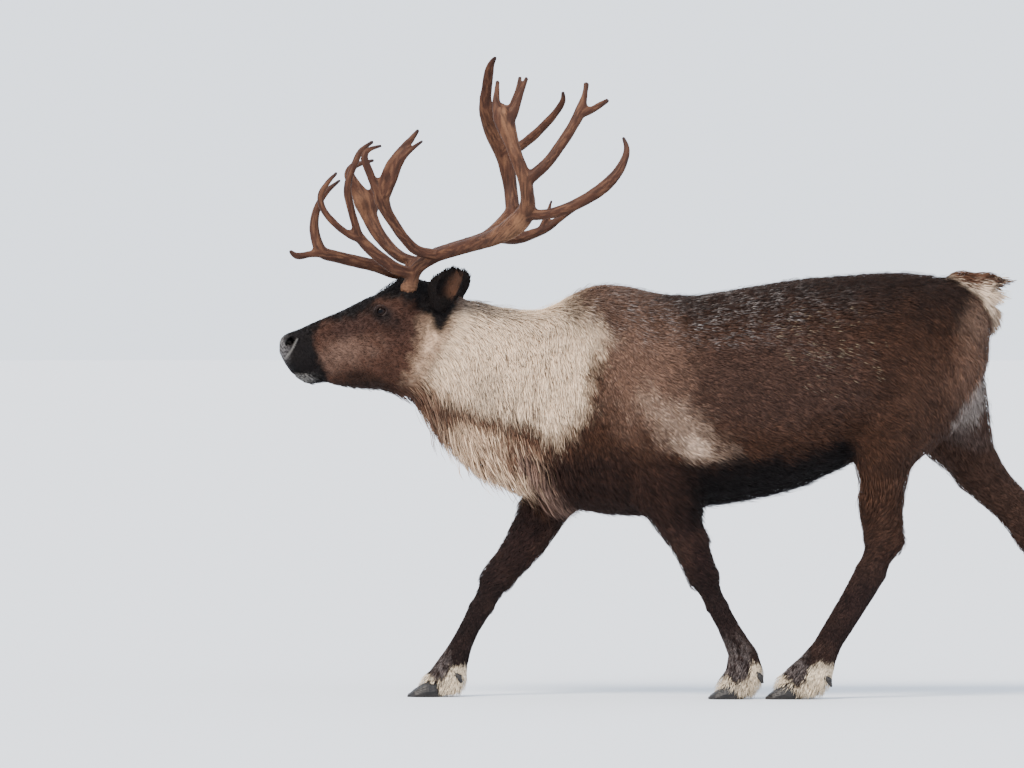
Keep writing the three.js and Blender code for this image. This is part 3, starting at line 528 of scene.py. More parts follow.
skin = fuseFlesh()
smoothFlesh(skin)
thinned(skin, [name for name in flesh if name not in fineParts], skinMake["thin"])
splitFine(skin)
mended(skin)
skinEdges, skinFaces, skinPoints = readEdges(skin.data), readFaces(skin.data), readPoints(skin.data)
labels, places = labelsOf(skinPoints), straightened(skinPoints)
kinds = kindOf[labels]
shares = sharesOf(kinds, skinEdges, 7)
ruffShare = inOutline(places, ruffZone, 90) * (shares[:, 1] + shares[:, 2])
print("skin fused:", len(skinFaces), "triangles")

# Forms of the skin that the solids leave out: swellings and hollows on both sides, in millimetres outwards
forms = [
    {"name": "shoulder blade", "at": (-10, 930), "size": (62, 150), "tilt": 14, "out": 7},
    {"name": "behind the shoulder", "at": (160, 860), "size": (46, 130), "tilt": 8, "out": -6},
    {"name": "flank", "at": (520, 890), "size": (62, 120), "tilt": -22, "out": -7},
    {"name": "haunch", "at": (745, 930), "size": (110, 150), "tilt": -10, "out": 7},
    {"name": "hip", "at": (600, 1105), "size": (46, 26), "tilt": 0, "out": 4},
    {"name": "brow", "at": (-742, 1106), "size": (30, 9), "tilt": 12, "out": 3.5},
    {"name": "tear pit", "at": (-791, 1066), "size": (16, 5.5), "tilt": 32, "out": -3.5},
    {"name": "cheek bone", "at": (-772, 1040), "size": (62, 12), "tilt": 16, "out": 3},
    {"name": "under the cheek bone", "at": (-800, 1006), "size": (62, 17), "tilt": 12, "out": -3},
    {"name": "jaw muscle", "at": (-700, 955), "size": (56, 76), "tilt": 0, "out": 4},
    {"name": "before the jaw muscle", "at": (-776, 945), "size": (12, 52), "tilt": -14, "out": -2.5},
    {"name": "lower jaw", "at": (-790, 880), "size": (110, 14), "tilt": 0, "out": 2},
    {"name": "upper lip", "at": (-980, 940), "size": (42, 15), "tilt": 6, "out": 2.5},
    {"name": "chin", "at": (-975, 898), "size": (32, 12), "tilt": 4, "out": 2.5},
    {"name": "nostril wing", "at": (-1000, 1004), "size": (25, 18), "tilt": 34, "out": 4.5},
    {"name": "eye socket", "at": (-757, 1083), "size": (25, 19), "tilt": 0, "out": -4.5},
]
mouthDeep, nostrilDeep = 4.5, 13
ears = {"blunt": 0.55, "full": 0.05, "front": 0.5, "short": 0.93, "smooth": 8}


def shapedForms(points):
    sideways = ease(np.abs(normals[:, 1]) * 2.2 - 0.3)
    out = sum(form["out"] * patch(places, form["at"], form["size"], form["tilt"], 0.9) for form in forms)
    out -= mouthDeep * onLine(places, mouthLine, 1.6, 4.5) * shares[:, 0]
    out -= nostrilDeep * patch(places, nostrilSpot["at"], nostrilSpot["size"], nostrilSpot["tilt"], 0.45)
    return points + normals * (out * sideways * millimetre)[:, None]


def shapedEars(points):  # blunter and fuller ears than the solids', and where the cup of each one is
    points, cup = points.copy(), np.zeros(len(points))
    for name, side in sides.items():
        chosen = np.flatnonzero(labels == flesh.index("ear_" + name))
        ear = points[chosen]
        middle = ear.mean(axis=0)
        axes = np.linalg.svd(ear - middle, full_matrices=False)[2]
        axes[0] *= np.sign(axes[0][2])
        axes[1] *= np.sign(axes[1][0])
        axes[2] *= np.sign(axes[2][1]) * side
        along, across, through = ((ear - middle) @ axes.T).T
        share = (along - along.min()) / np.ptp(along)
        steps = np.linspace(0, 1, 13)
        near = [np.abs(across[np.abs(share - step) < 0.07]) for step in steps]
        half = np.interp(share, steps, [np.max(found, initial=1e-3) for found in near])
        facing = normals[chosen] @ axes[2]
        inside = ease((0.8 - across / half) / 0.2) * ease((across / half + 0.3) / 0.4)
        inside *= ease((share - 0.3) / 0.2) * ease((0.97 - share) / 0.08)
        cup[chosen] = inside * ease((facing + 0.1) / 0.3)
        wider = 1 + ears["full"] * ease((share - 0.25) / 0.3) + ears["blunt"] * ease((share - 0.68) / 0.28)
        wider += ears["front"] * ease(share / 0.3) * (across < 0)
        along = along.min() + (along - along.min()) * ears["short"]
        points[chosen] = middle + along[:, None] * axes[0] + (across * wider)[:, None] * axes[1]
        points[chosen] += through[:, None] * axes[2]
    isEar = (kinds == "ear").astype(float)
    return relaxed(points, skinEdges, ears["smooth"], isEar), blurred(cup[:, None], skinEdges, 2)[:, 0]


writePoints(skin.data, skinPoints)
normals = readPoints(skin.data, "normal")
skinPoints = shapedForms(skinPoints)
skinPoints, earCup = shapedEars(skinPoints)
writePoints(skin.data, skinPoints)
print("skin shaped")

# The coat by region, in millimetres: how long and wide a tuft is, and how deep the coat lies over the skin
coatOf = {
    "head": {"long": 11, "wide": 1.7, "deep": 2.2},
    "ear": {"long": 13, "wide": 1.8, "deep": 1.6},
    "neck": {"long": 44, "wide": 2.1, "deep": 10},
    "torso": {"long": 26, "wide": 2.2, "deep": 7},
    "tail": {"long": 38, "wide": 2.4, "deep": 5},
    "upper": {"long": 22, "wide": 2.3, "deep": 5},
    "lower": {"long": 15, "wide": 2.1, "deep": 2.4},
}
throatFringe = {"at": (-640, 820), "size": (95, 46), "tilt": -36}
bellyFringe = [(-200, 480), (-200, 620), (640, 700), (640, 480)]
coatSpots = [  # where the coat is longer or shorter than its region's: a patch, and what it has there
    {"at": (-1012, 965), "size": (70, 75), "long": 5, "wide": 1.3, "deep": 0.8},
    {"at": (-757, 1083), "size": (34, 24), "long": 5, "wide": 1.2, "deep": 0.8},
    {"at": (-748, 1150), "size": (46, 14), "tilt": 24, "long": 24, "wide": 2.0, "deep": 8},
    {"at": (-684, 1122), "size": (40, 36), "long": 17, "wide": 1.8, "deep": 3},
    {"at": (-780, 850), "size": (160, 26), "long": 24, "wide": 1.9, "deep": 5},
    {**throatFringe, "long": 46, "wide": 2.2, "deep": 10},
    {"at": (430, 560), "size": (420, 50), "tilt": 12, "long": 44, "wide": 2.8, "deep": 10},
    {"at": (930, 880), "size": (60, 160), "long": 34, "wide": 2.4, "deep": 8},
]
ruffHair = {"deep": 26, "long": 72, "wide": 3.0}
footHair = {"top": 100, "long": 34, "deep": 5, "flare": 9}
tailHair = {"lift": 9, "loose": 0.25}
cupHair = {"long": 20}  # in the cup of the ear
hangs = {"ruff": 0.12, "belly": 0.12, "throat": 0.3}  # how far the hair hangs down, as a share of its length

measures = ["deep", "long", "wide"]
coat = np.array([[coatOf[kind][what] for what in measures] for kind in kinds], float)


def coatTowards(share, goal):  # brings the coat nearer to what the goal says of it
    for column, what in enumerate(measures):
        if what in goal:
            coat[:, column] += share * (goal[what] - coat[:, column])


coatTowards(ease((footHair["top"] - places[:, 2]) / 60), footHair)
for spot in coatSpots:
    coatTowards(patch(places, spot["at"], spot["size"], spot.get("tilt", 0), 0.35), spot)
coatTowards(ruffShare, ruffHair)
coatTowards(earCup, cupHair)
coat = blurred(coat, skinEdges, 12)
softer = blurred(coat, skinEdges, 40)
nearNeck = ease(4 * shares[:, 1] * shares[:, 0] + ease((places[:, 0] + 720) / 90) * shares[:, 0])
coat += nearNeck[:, None] * (softer - coat)
deep, long, wide = coat.T
flare = footHair["flare"] * ease((90 - places[:, 2]) / 30)  # carries the hair out over the top of the hoof
hang = hangs["ruff"] * ruffShare + hangs["belly"] * inOutline(places, bellyFringe, 60)
hang += hangs["throat"] * patch(places, throatFringe["at"], throatFringe["size"], throatFringe["tilt"], 0.5)


# The lie of the coat: the way that the hair points, all over the animal
def middleOf(name, top=False):
    low, high = (np.array(corner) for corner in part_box(name))
    middle = (low + high) / 2
    return np.array([middle[0], middle[1], high[2]]) if top else middle


def combed(ways, rounds):  # brings each way nearer to its neighbours'
    for turn in range(rounds):
        ways = unit(blurred(ways, skinEdges, 1))
    return ways


def lieOfCoat():
    x, y, z = places.T
    back = np.column_stack([np.ones(len(x)), 0 * x, 0 * x])
    down = np.column_stack([0 * x, 0 * x, -np.ones(len(x))])
    high = ease((z - 800) / 330)[:, None]  # 1 along the back, 0 at the belly
    ways = back + down * (0.15 + 0.35 * (1 - high))
    isTorso = (kinds == "torso")[:, None]
    ways += ease((120 - x) / 320)[:, None] * isTorso * (down * (1.5 - 1.1 * high) - 0.1 * back)
    ways += ease((x - 640) / 240)[:, None] * isTorso * (down * 1.3 - 0.5 * back)
    onNeck = (kinds == "neck")[:, None]
    ways = np.where(onNeck, back * (0.18 + 0.9 * ease((z - 1010) / 120)[:, None]) + down * 0.9, ways)
    inRuff = ruffShare[:, None]
    ways = ways * (1 - inRuff) + inRuff * (back * (0.35 + 0.5 * ease((640 - z) / 120)[:, None]) + down * 0.9)
    onHead = (kinds == "head")[:, None]
    ways = np.where(onHead, back + down * np.clip((1040 - z) / 300, -0.25, 0.6)[:, None], ways)
    onTail = (kinds == "tail")[:, None]
    fan = np.column_stack([1 + 0 * x, y / 160, np.clip((z - 1160) / 46, -0.85, -0.04)])
    ways = np.where(onTail, unit(fan), ways)
    for foot in feet:
        ends = {"upper": f"leg_{foot}_lower", "lower": f"hoof_{foot}_left"}
        for half, goal in ends.items():
            target = straightened(middleOf(goal, top=True)[None])[0]
            if half == "lower":
                target = target + np.array([20, 0, -40])
            chosen = (labels == flesh.index(f"leg_{foot}_{half}"))[:, None]
            toGoal = unit((target - places) * np.array([1, 0.3, 1])) + np.array([0.12, 0, 0])
            low, joined = ease((110 - z) / 50)[:, None], ease((z - 600) / 240)[:, None]
            toGoal = toGoal * (1 - joined) + joined * (0.55 * back + 0.85 * down)
            ways = np.where(chosen, toGoal * (1 - low) + low * np.array([-0.25, 0, -1]), ways)
    for name in sides:
        top = middleOf("ear_" + name, top=True)
        root, tip = straightened(np.array([middleOf("ear_" + name) - [0, 0, 0.07], top]))
        chosen = (labels == flesh.index("ear_" + name))[:, None]
        ways = np.where(chosen, unit(tip + np.array([20, 0, 0]) - root)[None], ways)
    near = combed(unit(ways), 14)
    far = combed(near, 46)  # the trunk's hair follows a smoother way than the head's and the legs'
    body = ease((shares[:, 1] + shares[:, 2] + shares[:, 5] - 0.5) * 2)[:, None]
    return unit(near * (1 - body) + far * body)


lie = lieOfCoat()
normals = relaxed(readPoints(skin.data, "normal"), skinEdges, 4, keepSize=False)
normals = unit(normals)
skinPoints = skinPoints - normals * (deep + skinMake["grow"])[:, None] * millimetre
skinPoints[:, 2] = np.maximum(skinPoints[:, 2], 2 * millimetre)
writePoints(skin.data, skinPoints)
normals = readPoints(skin.data, "normal")
places = straightened(skinPoints)
print("lie and depth of the coat")

# Markings: the same for the skin and for every tuft that grows from it
tones = {
    # Trunk and neck
    "brown": "#3b261b", "back": "#241711", "flank": "#422f27", "shoulder": "#6b5143", "tan": "#9a8270",
    "tanBright": "#c9ad96", "belly": "#0e0807", "bellyFront": "#2b1b15", "cream": "#dcc0a2",
    "nape": "#4c4340", "throat": "#573d2f", "ruff": "#e0bf9e", "ruffDark": "#5f4233",
    "chestTuft": "#6f574b", "rust": "#4a2f20", "parting": "#4a3a30", "rime": "#968f8b", "fleck": "#94866f",
    # Rump, tail and legs
    "haunch": "#3e2b22", "rump": "#6b5446", "tailTop": "#4a3022", "tailTip": "#1c0f0a",
    "tailWhite": "#d6bda4", "inner": "#827770", "innerDull": "#4d403b", "leg": "#281a17",
    "legWarm": "#3b2921", "legDark": "#150f0e", "shank": "#6e6461", "hoofCream": "#dcc8ac",
    # Head and ears
    "cheek": "#40291f", "midCheek": "#5a4439", "underEye": "#2c1b16", "eyeRing": "#140b09",
    "jaw": "#27170f", "jawTan": "#c4a386", "faceBlack": "#0a0504", "muzzleGrey": "#6f6b6b",
    "chin": "#85817c", "earRim": "#0c0605", "earCup": "#412b1f",
}
creamNeck = [(-560, 1160), (-400, 1150), (-330, 1140), (-272, 1112), (-222, 1078), (-160, 1034), (-132, 980),
             (-146, 912), (-176, 850), (-190, 796), (-216, 752), (-254, 722), (-296, 742), (-322, 760),
             (-410, 768), (-480, 784), (-529, 800), (-594, 842), (-634, 880), (-646, 913), (-632, 974),
             (-622, 1010), (-590, 1030), (-560, 1080)]
ruffOutline = [(-640, 800), (-529, 770), (-400, 740), (-319, 700), (-300, 640), (-364, 560), (-476, 590),
               (-560, 640), (-660, 720)]
ruffBrown = [(-400, 755), (-330, 745), (-296, 690), (-330, 640), (-400, 660), (-420, 700)]
chestTuft = [(-352, 672), (-318, 640), (-290, 590), (-262, 540), (-238, 505)]
chestDark = [(-294, 668), (-230, 668), (-150, 690), (-60, 680), (-60, 560), (-240, 500), (-292, 560)]
bellyDark = [(-262, 660), (-120, 660), (30, 668), (140, 652), (300, 662), (450, 682), (530, 716), (560, 690),
             (550, 400), (-300, 400)]
napeLine = [(-590, 1142), (-520, 1116), (-440, 1100), (-400, 1096)]
thighEdge = [(936, 890), (896, 832), (846, 764)]
throatLine = [(-712, 880), (-650, 840), (-552, 792), (-430, 744), (-375, 732)]
creamDull = [(-510, 800), (-420, 800), (-430, 900), (-500, 900)]
partings = [[(-326, 882), (-331, 851)], [(-386, 862), (-384, 776)], [(-401, 837), (-401, 817)],
            [(-314, 812), (-319, 787)], [(-286, 927), (-274, 896)], [(-409, 960), (-402, 948)]]
faceBlack = [(-1085, 1050), (-1062, 890), (-990, 868), (-905, 880), (-912, 917), (-928, 955), (-936, 991),
             (-941, 1028), (-913, 1050), (-854, 1066), (-820, 1074), (-798, 1080), (-782, 1102), (-762, 1113),
             (-704, 1112), (-672, 1106), (-664, 1088), (-624, 1072), (-604, 1034), (-594, 1016), (-582, 1030),
             (-566, 1070), (-546, 1103), (-520, 1150), (-526, 1270), (-760, 1270), (-1000, 1180)]
rimeEdge = [(262, 1000), (330, 1010), (400, 996), (450, 960), (520, 950), (600, 968)]


def markingsAt(places, normals, label, share, cup):
    x, y, z = places.T
    head, neck, torso, tail, ear, upper, lower = share.T
    rough = wander(places, 120, 1) * 10 + wander(places, 38, 2) * 7 + wander(places, 15, 3) * 5
    tone = np.tile(linear(tones["brown"]), (len(x), 1))
    paint = painter(tone, tones)

    # Trunk and neck
    trunk = torso + neck + upper
    paint(ease((z - 990 + rough * 2.5) / 150), "back")
    paint(patch(places, (330, 880), (300, 130), 0, 0.5, rough / 70), "flank")
    paint(patch(places, (-20, 905), (125, 170), 20, 0.6, rough / 50), "shoulder")
    paint(patch(places, (-120, 1115), (130, 60), -4, 0.6, rough / 60) * 0.8, "shoulder")
    paint(patch(places, (76, 766), (122, 50), -32, 0.9, rough / 26) * 0.75, "tan")
    paint(patch(places, (118, 706), (60, 27), -16, 0.7, rough / 30) * 0.8, "tanBright")
    paint(ease((x - 600) / 200) * ease((1050 - z) / 200), "haunch")
    paint(patch(places, (905, 960), (50, 130), -16, 0.7, rough / 60) * 0.5, "shoulder")
    under = np.where(x < 300, trunk, torso)
    paint(inOutline(places, bellyDark, 84, rough * 1.8) * under, "bellyFront")
    paint(inOutline(places, bellyDark, 66, rough * 1.4) * under * ease((x - 40) / 120), "belly")
    paint(inOutline(places, chestDark, 70, rough * 1.4) * trunk, "bellyFront")
    boundary = inOutline(places, creamNeck, 64, rough * 1.6)
    upperEdge = ease((z - 960) / 120) * ease((x + 420) / 120)
    boundary = boundary * (1 - upperEdge) + upperEdge * inOutline(places, creamNeck, 130, rough * 1.6)
    paint(4 * boundary * (1 - boundary) * ease((x + 300) / 100) * ease((1000 - z) / 120) * 0.8, "rust")
    paint(boundary * (1 - head * 0.6), "cream")
    paint(inOutline(places, creamDull, 60, rough * 2) * 0.3, "nape")
    paint(onLine(places, napeLine, 30, 56, rough) * 0.85, "nape")
    paint(onLine(places, throatLine, 36, 66, rough * 1.5) * (1 - ear) * 0.9, "throat")
    streaks = ease(0.5 + 0.9 * wander(places * np.array([1, 1, 0.16]), 26, 7))
    ruff = inOutline(places, ruffOutline, 56, rough) * (1 - head)
    paint(ruff, "ruff")
    paint(ruff * streaks * 0.7 * ease((x + 560) / 90), "ruffDark")
    paint(ruff * ease((-520 - x) / 80), "ruffDark")
    paint(inOutline(places, ruffBrown, 50, rough) * (0.5 + 0.5 * streaks), "ruffDark")
    paint(onLine(places, chestTuft, 20, 22, rough * 0.5) * ease((-y + 60) / 60), "chestTuft")
    for line in partings:
        paint(onLine(places, line, 3, 6, wander(places, 12, 9) * 3) * (y < 0), "parting")

    # The rump, the tail and between the thighs
    paint(patch(places, (915, 1050), (36, 70), -16, 0.8, rough / 40) * (1 - tail) * 0.75, "rump")
    onTail = ease(tail * 1.8 - 0.6)
    tailStreak = 14 * wander(places * np.array([0.3, 1, 1]), 18, 61)
    paint(onTail, "tailWhite")
    paint(onTail * ease((z - 1138 - 0.1 * (x - 880) + tailStreak) / 26), "tailTop")
    paint(onTail * ease((1092 - z + tailStreak) / 22) * 0.6, "tailTop")
    between = ease((70 - np.abs(y)) / 40) * patch(places, (880, 812), (70, 95), 30, 0.5)
    paint(between * (z > 600), "inner")
    inside = ease(-normals[:, 1] * np.sign(y) * 2.4 - 0.4) * (x > 650)
    paint(inside * patch(places, (895, 822), (44, 66), -34, 0.35, rough / 60), "inner")
    paint(inside * patch(places, (878, 728), (80, 24), -16, 0.6, rough / 60) * 0.6, "innerDull")
    paint(onLine(places, thighEdge, 10, 16, rough * 0.3) * (1 - tail) * 0.85, "inner")

    # Legs, darker down them, with cream over the hooves
    leg, isHind = upper + lower, x > 450
    paint(leg * ease((np.where(isHind, 560, 700) - z) / 260), "leg")
    paint(leg * ease((640 - z) / 200) * ease(0.4 + 0.6 * wander(places, 90, 11)) * 0.5, "legWarm")
    paint(leg * ease((430 - z) / 160) * np.where(isHind, 0.2, 0.5), "legDark")
    for foot in feet:
        top = straightened(middleOf(f"hoof_{foot}_left", top=True)[None])[0]
        near = lower * (label == flesh.index(f"leg_{foot}_lower"))
        ahead = (x - top[0]) / 60  # below 0 towards the toe
        heel = 20 if foot == "fore_right" else 34  # how far the cream climbs behind the foot
        height = 63 + heel * ease((ahead - 1) / 0.3) - 24 * np.exp(-(((ahead - 0.7) / 0.36) ** 2))
        front = ease((1.35 - ahead) / 0.5)
        shank = near * ease((205 - z) / 90) * ease((z - height) / 12) * front
        paint(shank * ease(0.55 + 0.8 * wander(places * np.array([1, 1, 0.3]), 14, 13)) * 0.7, "shank")
        paint(near * ease(0.5 + (height + 0.8 * rough - z) / 14), "hoofCream")

    # The head
    paint(head, "cheek")
    paint(head * patch(places, (-862, 968), (84, 44), 8, 0.6, rough / 40), "midCheek")
    paint(head * patch(places, (-835, 1040), (85, 24), 14, 0.6, rough / 60) * 0.8, "underEye")
    paint(head * patch(places, (-611, 982), (41, 96), -14, 1.0, rough / 34) * 0.95, "jawTan")
    paint(head * patch(places, (-690, 1040), (60, 60), 0, 0.8, rough / 50) * 0.5, "underEye")
    paint(head * ease((888 + 10 * wander(places, 60, 5) - z) / 34 + 0.5) * ease((-690 - x) / 60), "jaw")
    paint(head * patch(places, (-815, 880), (56, 40), 0, 0.6, rough / 60), "jaw")
    paint(head * patch(places, (-757, 1080), (32, 24), -26, 0.6, rough / 90), "eyeRing")
    paint(head * patch(places, (-736, 1056), (40, 20), -30, 0.8) * 0.45, "eyeRing")
    black = inOutline(places, faceBlack, 30, 0.5 * rough)
    paint(black * np.maximum(head, patch(places, (-590, 1090), (70, 76), 0, 0.3)), "faceBlack")
    frosty = ease(0.5 + 1.2 * wander(places, 6, 17) + 0.5 * wander(places, 17, 18))
    nose = 0.95 * patch(places, (-1042, 982), (25, 42), 10, 0.7)
    hollow = patch(places, nostrilSpot["at"], nostrilSpot["size"], nostrilSpot["tilt"], 0.4)
    paint(head * nose * (0.2 + 0.8 * frosty) * (1 - hollow), "muzzleGrey")
    paint(head * onLine(places, [(-990, 1006), (-1006, 975), (-1022, 952)], 2, 6) * 0.5, "chin")
    paint(head * patch(places, (-985, 893), (46, 16), 6, 0.5) * (0.1 + 0.7 * frosty), "chin")
    paint(head * onLine(places, mouthLine, 1.5, 4), "faceBlack")

    # Ears: dark outside and on the rim, brown in the cup
    paint(ear, "earRim")
    paint(cup, "earCup")
    tone *= (1 + 0.07 * wander(places, 55, 19) + 0.05 * wander(places, 20, 23))[:, None]
    return np.clip(tone, 0.0015, 1)


def rimeAt(places):  # how much of the hair on the back has frost on it
    z = places[:, 2]
    upper = patch(places, (170, 1080), (330, 74), 3, 0.7)
    upper = upper + 0.5 * patch(places, (-110, 1125), (120, 40), 6, 0.7)
    fine = 0.42 + 0.3 * wander(places, 22, 31) + 0.35 * wander(places, 70, 32)
    edge = 0.8 * patch(places, (226, 1008), (62, 16), 14, 0.8) + 0.35 * onLine(places, rimeEdge, 14, 60)
    edge = edge * ease(0.5 + 0.7 * wander(places * np.array([1, 1, 0.6]), 15, 33))
    return np.clip(upper * fine * 0.85 + edge * 0.9, 0, 0.8) * ease((z - 760) / 120)


skinTones = markingsAt(places, normals, labels, shares, earCup)
# The skin between the tufts is painted shade: its markings at 0.85 of their tone
setColours(skin.data, "coatTone", skinTones * 0.85)
print("markings")

# Hair: dull and soft, with no gloss of its own; its colour comes with the tufts, as an attribute.
# Its grain of 2.4 mm is as coarse as a lock of a few hairs, to show at all.
hairLook = {
    "noise": (420.0, 2.0), "shades": ("coatTone", 0.86, 1.14),
    "shader": {"Roughness": 0.7, "Specular IOR Level": 0.12},
}
hairFinish = makeFinish("reindeer winter hair", bump=(0.1, 0.0015), **hairLook)
skinFinish = makeFinish("short hair over skin", bump=(0.7, 0.0015), **hairLook)
smoothShaded(skin, skinFinish)


# The coat: closed tapered tufts, set on the skin and combed along the lie
tuftMake = {
    # The least and the most of what the coat measures there
    "long": (0.75, 1.2), "wide": (0.8, 1.25), "high": (0.5, 1.06),
    "thick": 0.45,  # as a share of half its breadth
    "standOff": 0.1,  # the share of the tufts that stand off the body
    "together": 8, "lean": (0.4, 1.3),  # how many tufts lean together, and how much
    "under": 1.5, "ground": 0.4,  # how deep a root sits in the skin, and how near the floor a tuft comes
    "patch": 0.003,  # how wide a tuft is on its UV map
}


def unwrapOf(chosen):  # the chosen faces of the skin laid flat, as a place for each corner
    used, corner = np.unique(skinFaces[chosen], return_inverse=True)
    sheet = newMesh("unwrap", skinPoints[used], corner.reshape(-1, 3))
    editMesh(sheet, bpy.ops.uv.smart_project, angle_limit=math.radians(60), island_margin=0.002)
    spots = np.empty(len(chosen) * 6, np.float32)
    sheet.data.uv_layers.active.data.foreach_get("uv", spots)
    bpy.data.objects.remove(sheet)
    return spots.reshape(-1, 3, 2).astype(float)


def tuftShape(rings):  # a spindle: a point at the root, rings of three corners and a point at the tip
    triangles = [(0, 1 + (corner + 1) % 3, 1 + corner) for corner in range(3)]
    for ring in range(rings - 1):
        for corner in range(3):
            a, b = 1 + ring * 3 + corner, 1 + ring * 3 + (corner + 1) % 3
            triangles += [(a, b, a + 3), (b, b + 3, a + 3)]
    last = 1 + (rings - 1) * 3
    triangles += [(last + corner, last + (corner + 1) % 3, last + 3) for corner in range(3)]
    return np.array(triangles), [(ring + 0.55) / (rings + 0.2) for ring in range(rings)]


def addBakeMap(piece, triangles, middle, steps, along):  # each tuft is a small patch round its root's place
    across = np.array([0] + [edge for step in steps for edge in (-0.5, 0.5, 0)] + [0])
    spread = tuftMake["patch"] * np.column_stack([across, along - 0.5])
    bake = np.clip(middle[:, None] + spread[None], 0.001, 0.999).reshape(-1, 2)
    layer = piece.data.uv_layers.new(name="OFBake")
    layer.data.foreach_set("uv", bake[triangles.ravel()].astype(np.float32).ravel())


def growCoat(title, chosen, count, rings, seed, clump=0.2):
    draw = np.random.default_rng(seed)
    corners = skinPoints[skinFaces[chosen]]
    area = np.linalg.norm(np.cross(corners[:, 1] - corners[:, 0], corners[:, 2] - corners[:, 0]), axis=1)
    crowd = area / (long * wide)[skinFaces[chosen]].mean(axis=1)
    pick = np.searchsorted(np.cumsum(crowd) / crowd.sum(), draw.random(count))
    share = draw.dirichlet((1, 1, 1), count)
    face = chosen[pick]

    def at(field):
        return np.einsum("nc,nc...->n...", share, field[skinFaces[face]])

    root, normal = at(skinPoints), unit(at(normals))
    spot, part = straightened(root), at(shares)
    size = at(long) * draw.uniform(*tuftMake["long"], count)
    breadth = at(wide) * draw.uniform(*tuftMake["wide"], count)
    height = at(deep) * draw.uniform(*tuftMake["high"], count)
    droop, outward = at(hang), at(flare)
    height += tailHair["lift"] * part[:, 3] * draw.uniform(0, 1, count)
    standsOff = draw.random(count) < tuftMake["standOff"]
    height *= 1 + standsOff * (part[:, 1] + part[:, 2] + 0.6 * part[:, 5])
    way = at(lie)
    strayed = spot + way * (0.45 * size)[:, None] + draw.normal(0, 1, (count, 3)) * (0.16 * size)[:, None]
    tone = markingsAt(strayed, normal, labels[skinFaces[face, 0]], part, at(earCup))
    way = turnedWays(way, spot)
    off = np.sum(way * normal, axis=1, keepdims=True)
    loose = tailHair["loose"] * part[:, 3:4] + 0.1 * part[:, 4:5] + 0.04  # hair at an end points on past it
    way = unit(way - normal * np.where(off > 0, 1 - loose, 1) * off)
    side = unit(np.cross(normal, way))
    heading = np.radians(7 * wander(spot, 90, seed + 1) + 5 * wander(spot, 25, 2) + draw.normal(0, 6, count))
    way = way * np.cos(heading)[:, None] + side * np.sin(heading)[:, None]
    side = unit(np.cross(normal, way))
    tip = root + (way * size[:, None] + normal * height[:, None]) * millimetre

    # Tufts near one another lean together
    leaders = draw.choice(count, max(count // tuftMake["together"], 1), replace=False)
    leader = leaders[nearestIn(root[leaders], root)]
    lean = (tip[leader] - tip) * clump * draw.uniform(*tuftMake["lean"], count)[:, None]
    dark = ease(1 - tone.mean(axis=1) / 0.16)  # dark hair varies more than pale hair does
    own = 1 + draw.normal(0, 1, count) * (0.07 + 0.12 * dark)
    own = np.clip(own + draw.normal(0, 1, count)[leader] * (0.035 + 0.13 * dark), 0.4, 1.8)

    triangles, steps = tuftShape(rings)

    def middleAt(step):
        rise = math.sin(math.pi / 2 * min(1, step / 0.55))
        centre = root + way * (size * step * millimetre)[:, None] + lean * step**1.6
        out = height * rise + outward * step - tuftMake["under"] * (1 - step)
        centre = centre + normal * (out * millimetre)[:, None]
        centre[:, 2] -= droop * size * millimetre * step**2
        return centre

    points = [middleAt(0)]
    for step in steps:
        centre, half = middleAt(step), breadth[:, None] * math.sqrt(step * (1 - step)) * millimetre
        points += [centre - side * half, centre + side * half, centre + normal * half * tuftMake["thick"]]
    points = np.stack(points + [middleAt(1)], 1)
    # A tuft that would grow through the floor is squeezed upwards as a whole, so it keeps its shape
    ground, top = tuftMake["ground"] * millimetre, root[:, 2:]
    drop = np.maximum(top - points[:, :, 2].min(axis=1, keepdims=True), 1e-6)
    points[:, :, 2] = top + (points[:, :, 2] - top) * np.clip((top - ground) / drop, 0, 1)
    each = points.shape[1]
    allFaces = (triangles[None] + (np.arange(count) * each)[:, None, None]).reshape(-1, 3)
    piece = newMesh(title, points.reshape(-1, 3), allFaces)

    # Each tuft has its own tone, darkened towards the root as painted shade; rime, flecks and the tail's dark
    # end lie on the tips
    rime = rimeAt(spot) * (draw.random(count) < 0.55) * draw.uniform(0.1, 1, count) ** 1.5 * part[:, 2]
    flecked = (onFlecks(spot) > draw.random(count)) * draw.uniform(0.15, 0.5, count)
    tailEnd = part[:, 3] * ease((spot[:, 2] - 1140) / 16) * ease((spot[:, 0] - 880) / 60)
    tips = [(rime, "rime", -0.1, 0.5), (flecked, "fleck", -0.1, 0.5), (tailEnd * 0.9, "tailTip", 0.6, 0.3)]
    along = np.array([0] + [step for step in steps for corner in range(3)] + [1.0])
    colours = []
    for step in along:
        # painted shade: 0.84 of the tone at the root, rising to 1.04 at the tip
        colour = tone * ((0.84 + 0.2 * step) * own)[:, None]
        for amount, name, start, run in tips:
            colour += (amount * ease((step - start) / run))[:, None] * (linear(tones[name]) - colour)
        colours.append(colour)
    setColours(piece.data, "coatTone", np.stack(colours, 1).reshape(-1, 3))
    addBakeMap(piece, allFaces, np.einsum("nc,nck->nk", share, unwrapOf(chosen)[pick]), steps, along)
    piece.data.materials.append(hairFinish)
    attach(piece, "root")
    return piece


def onFlecks(places):  # the odd pale lock on the flank behind the shoulder
    where = patch(places, (480, 980), (150, 90), -20, 0.7)
    fine = wander(places * np.array([1, 1, 0.7]), 17, 41) + wander(places, 50, 42)
    return where * ease((fine - 0.2) * 1.2) * 0.4


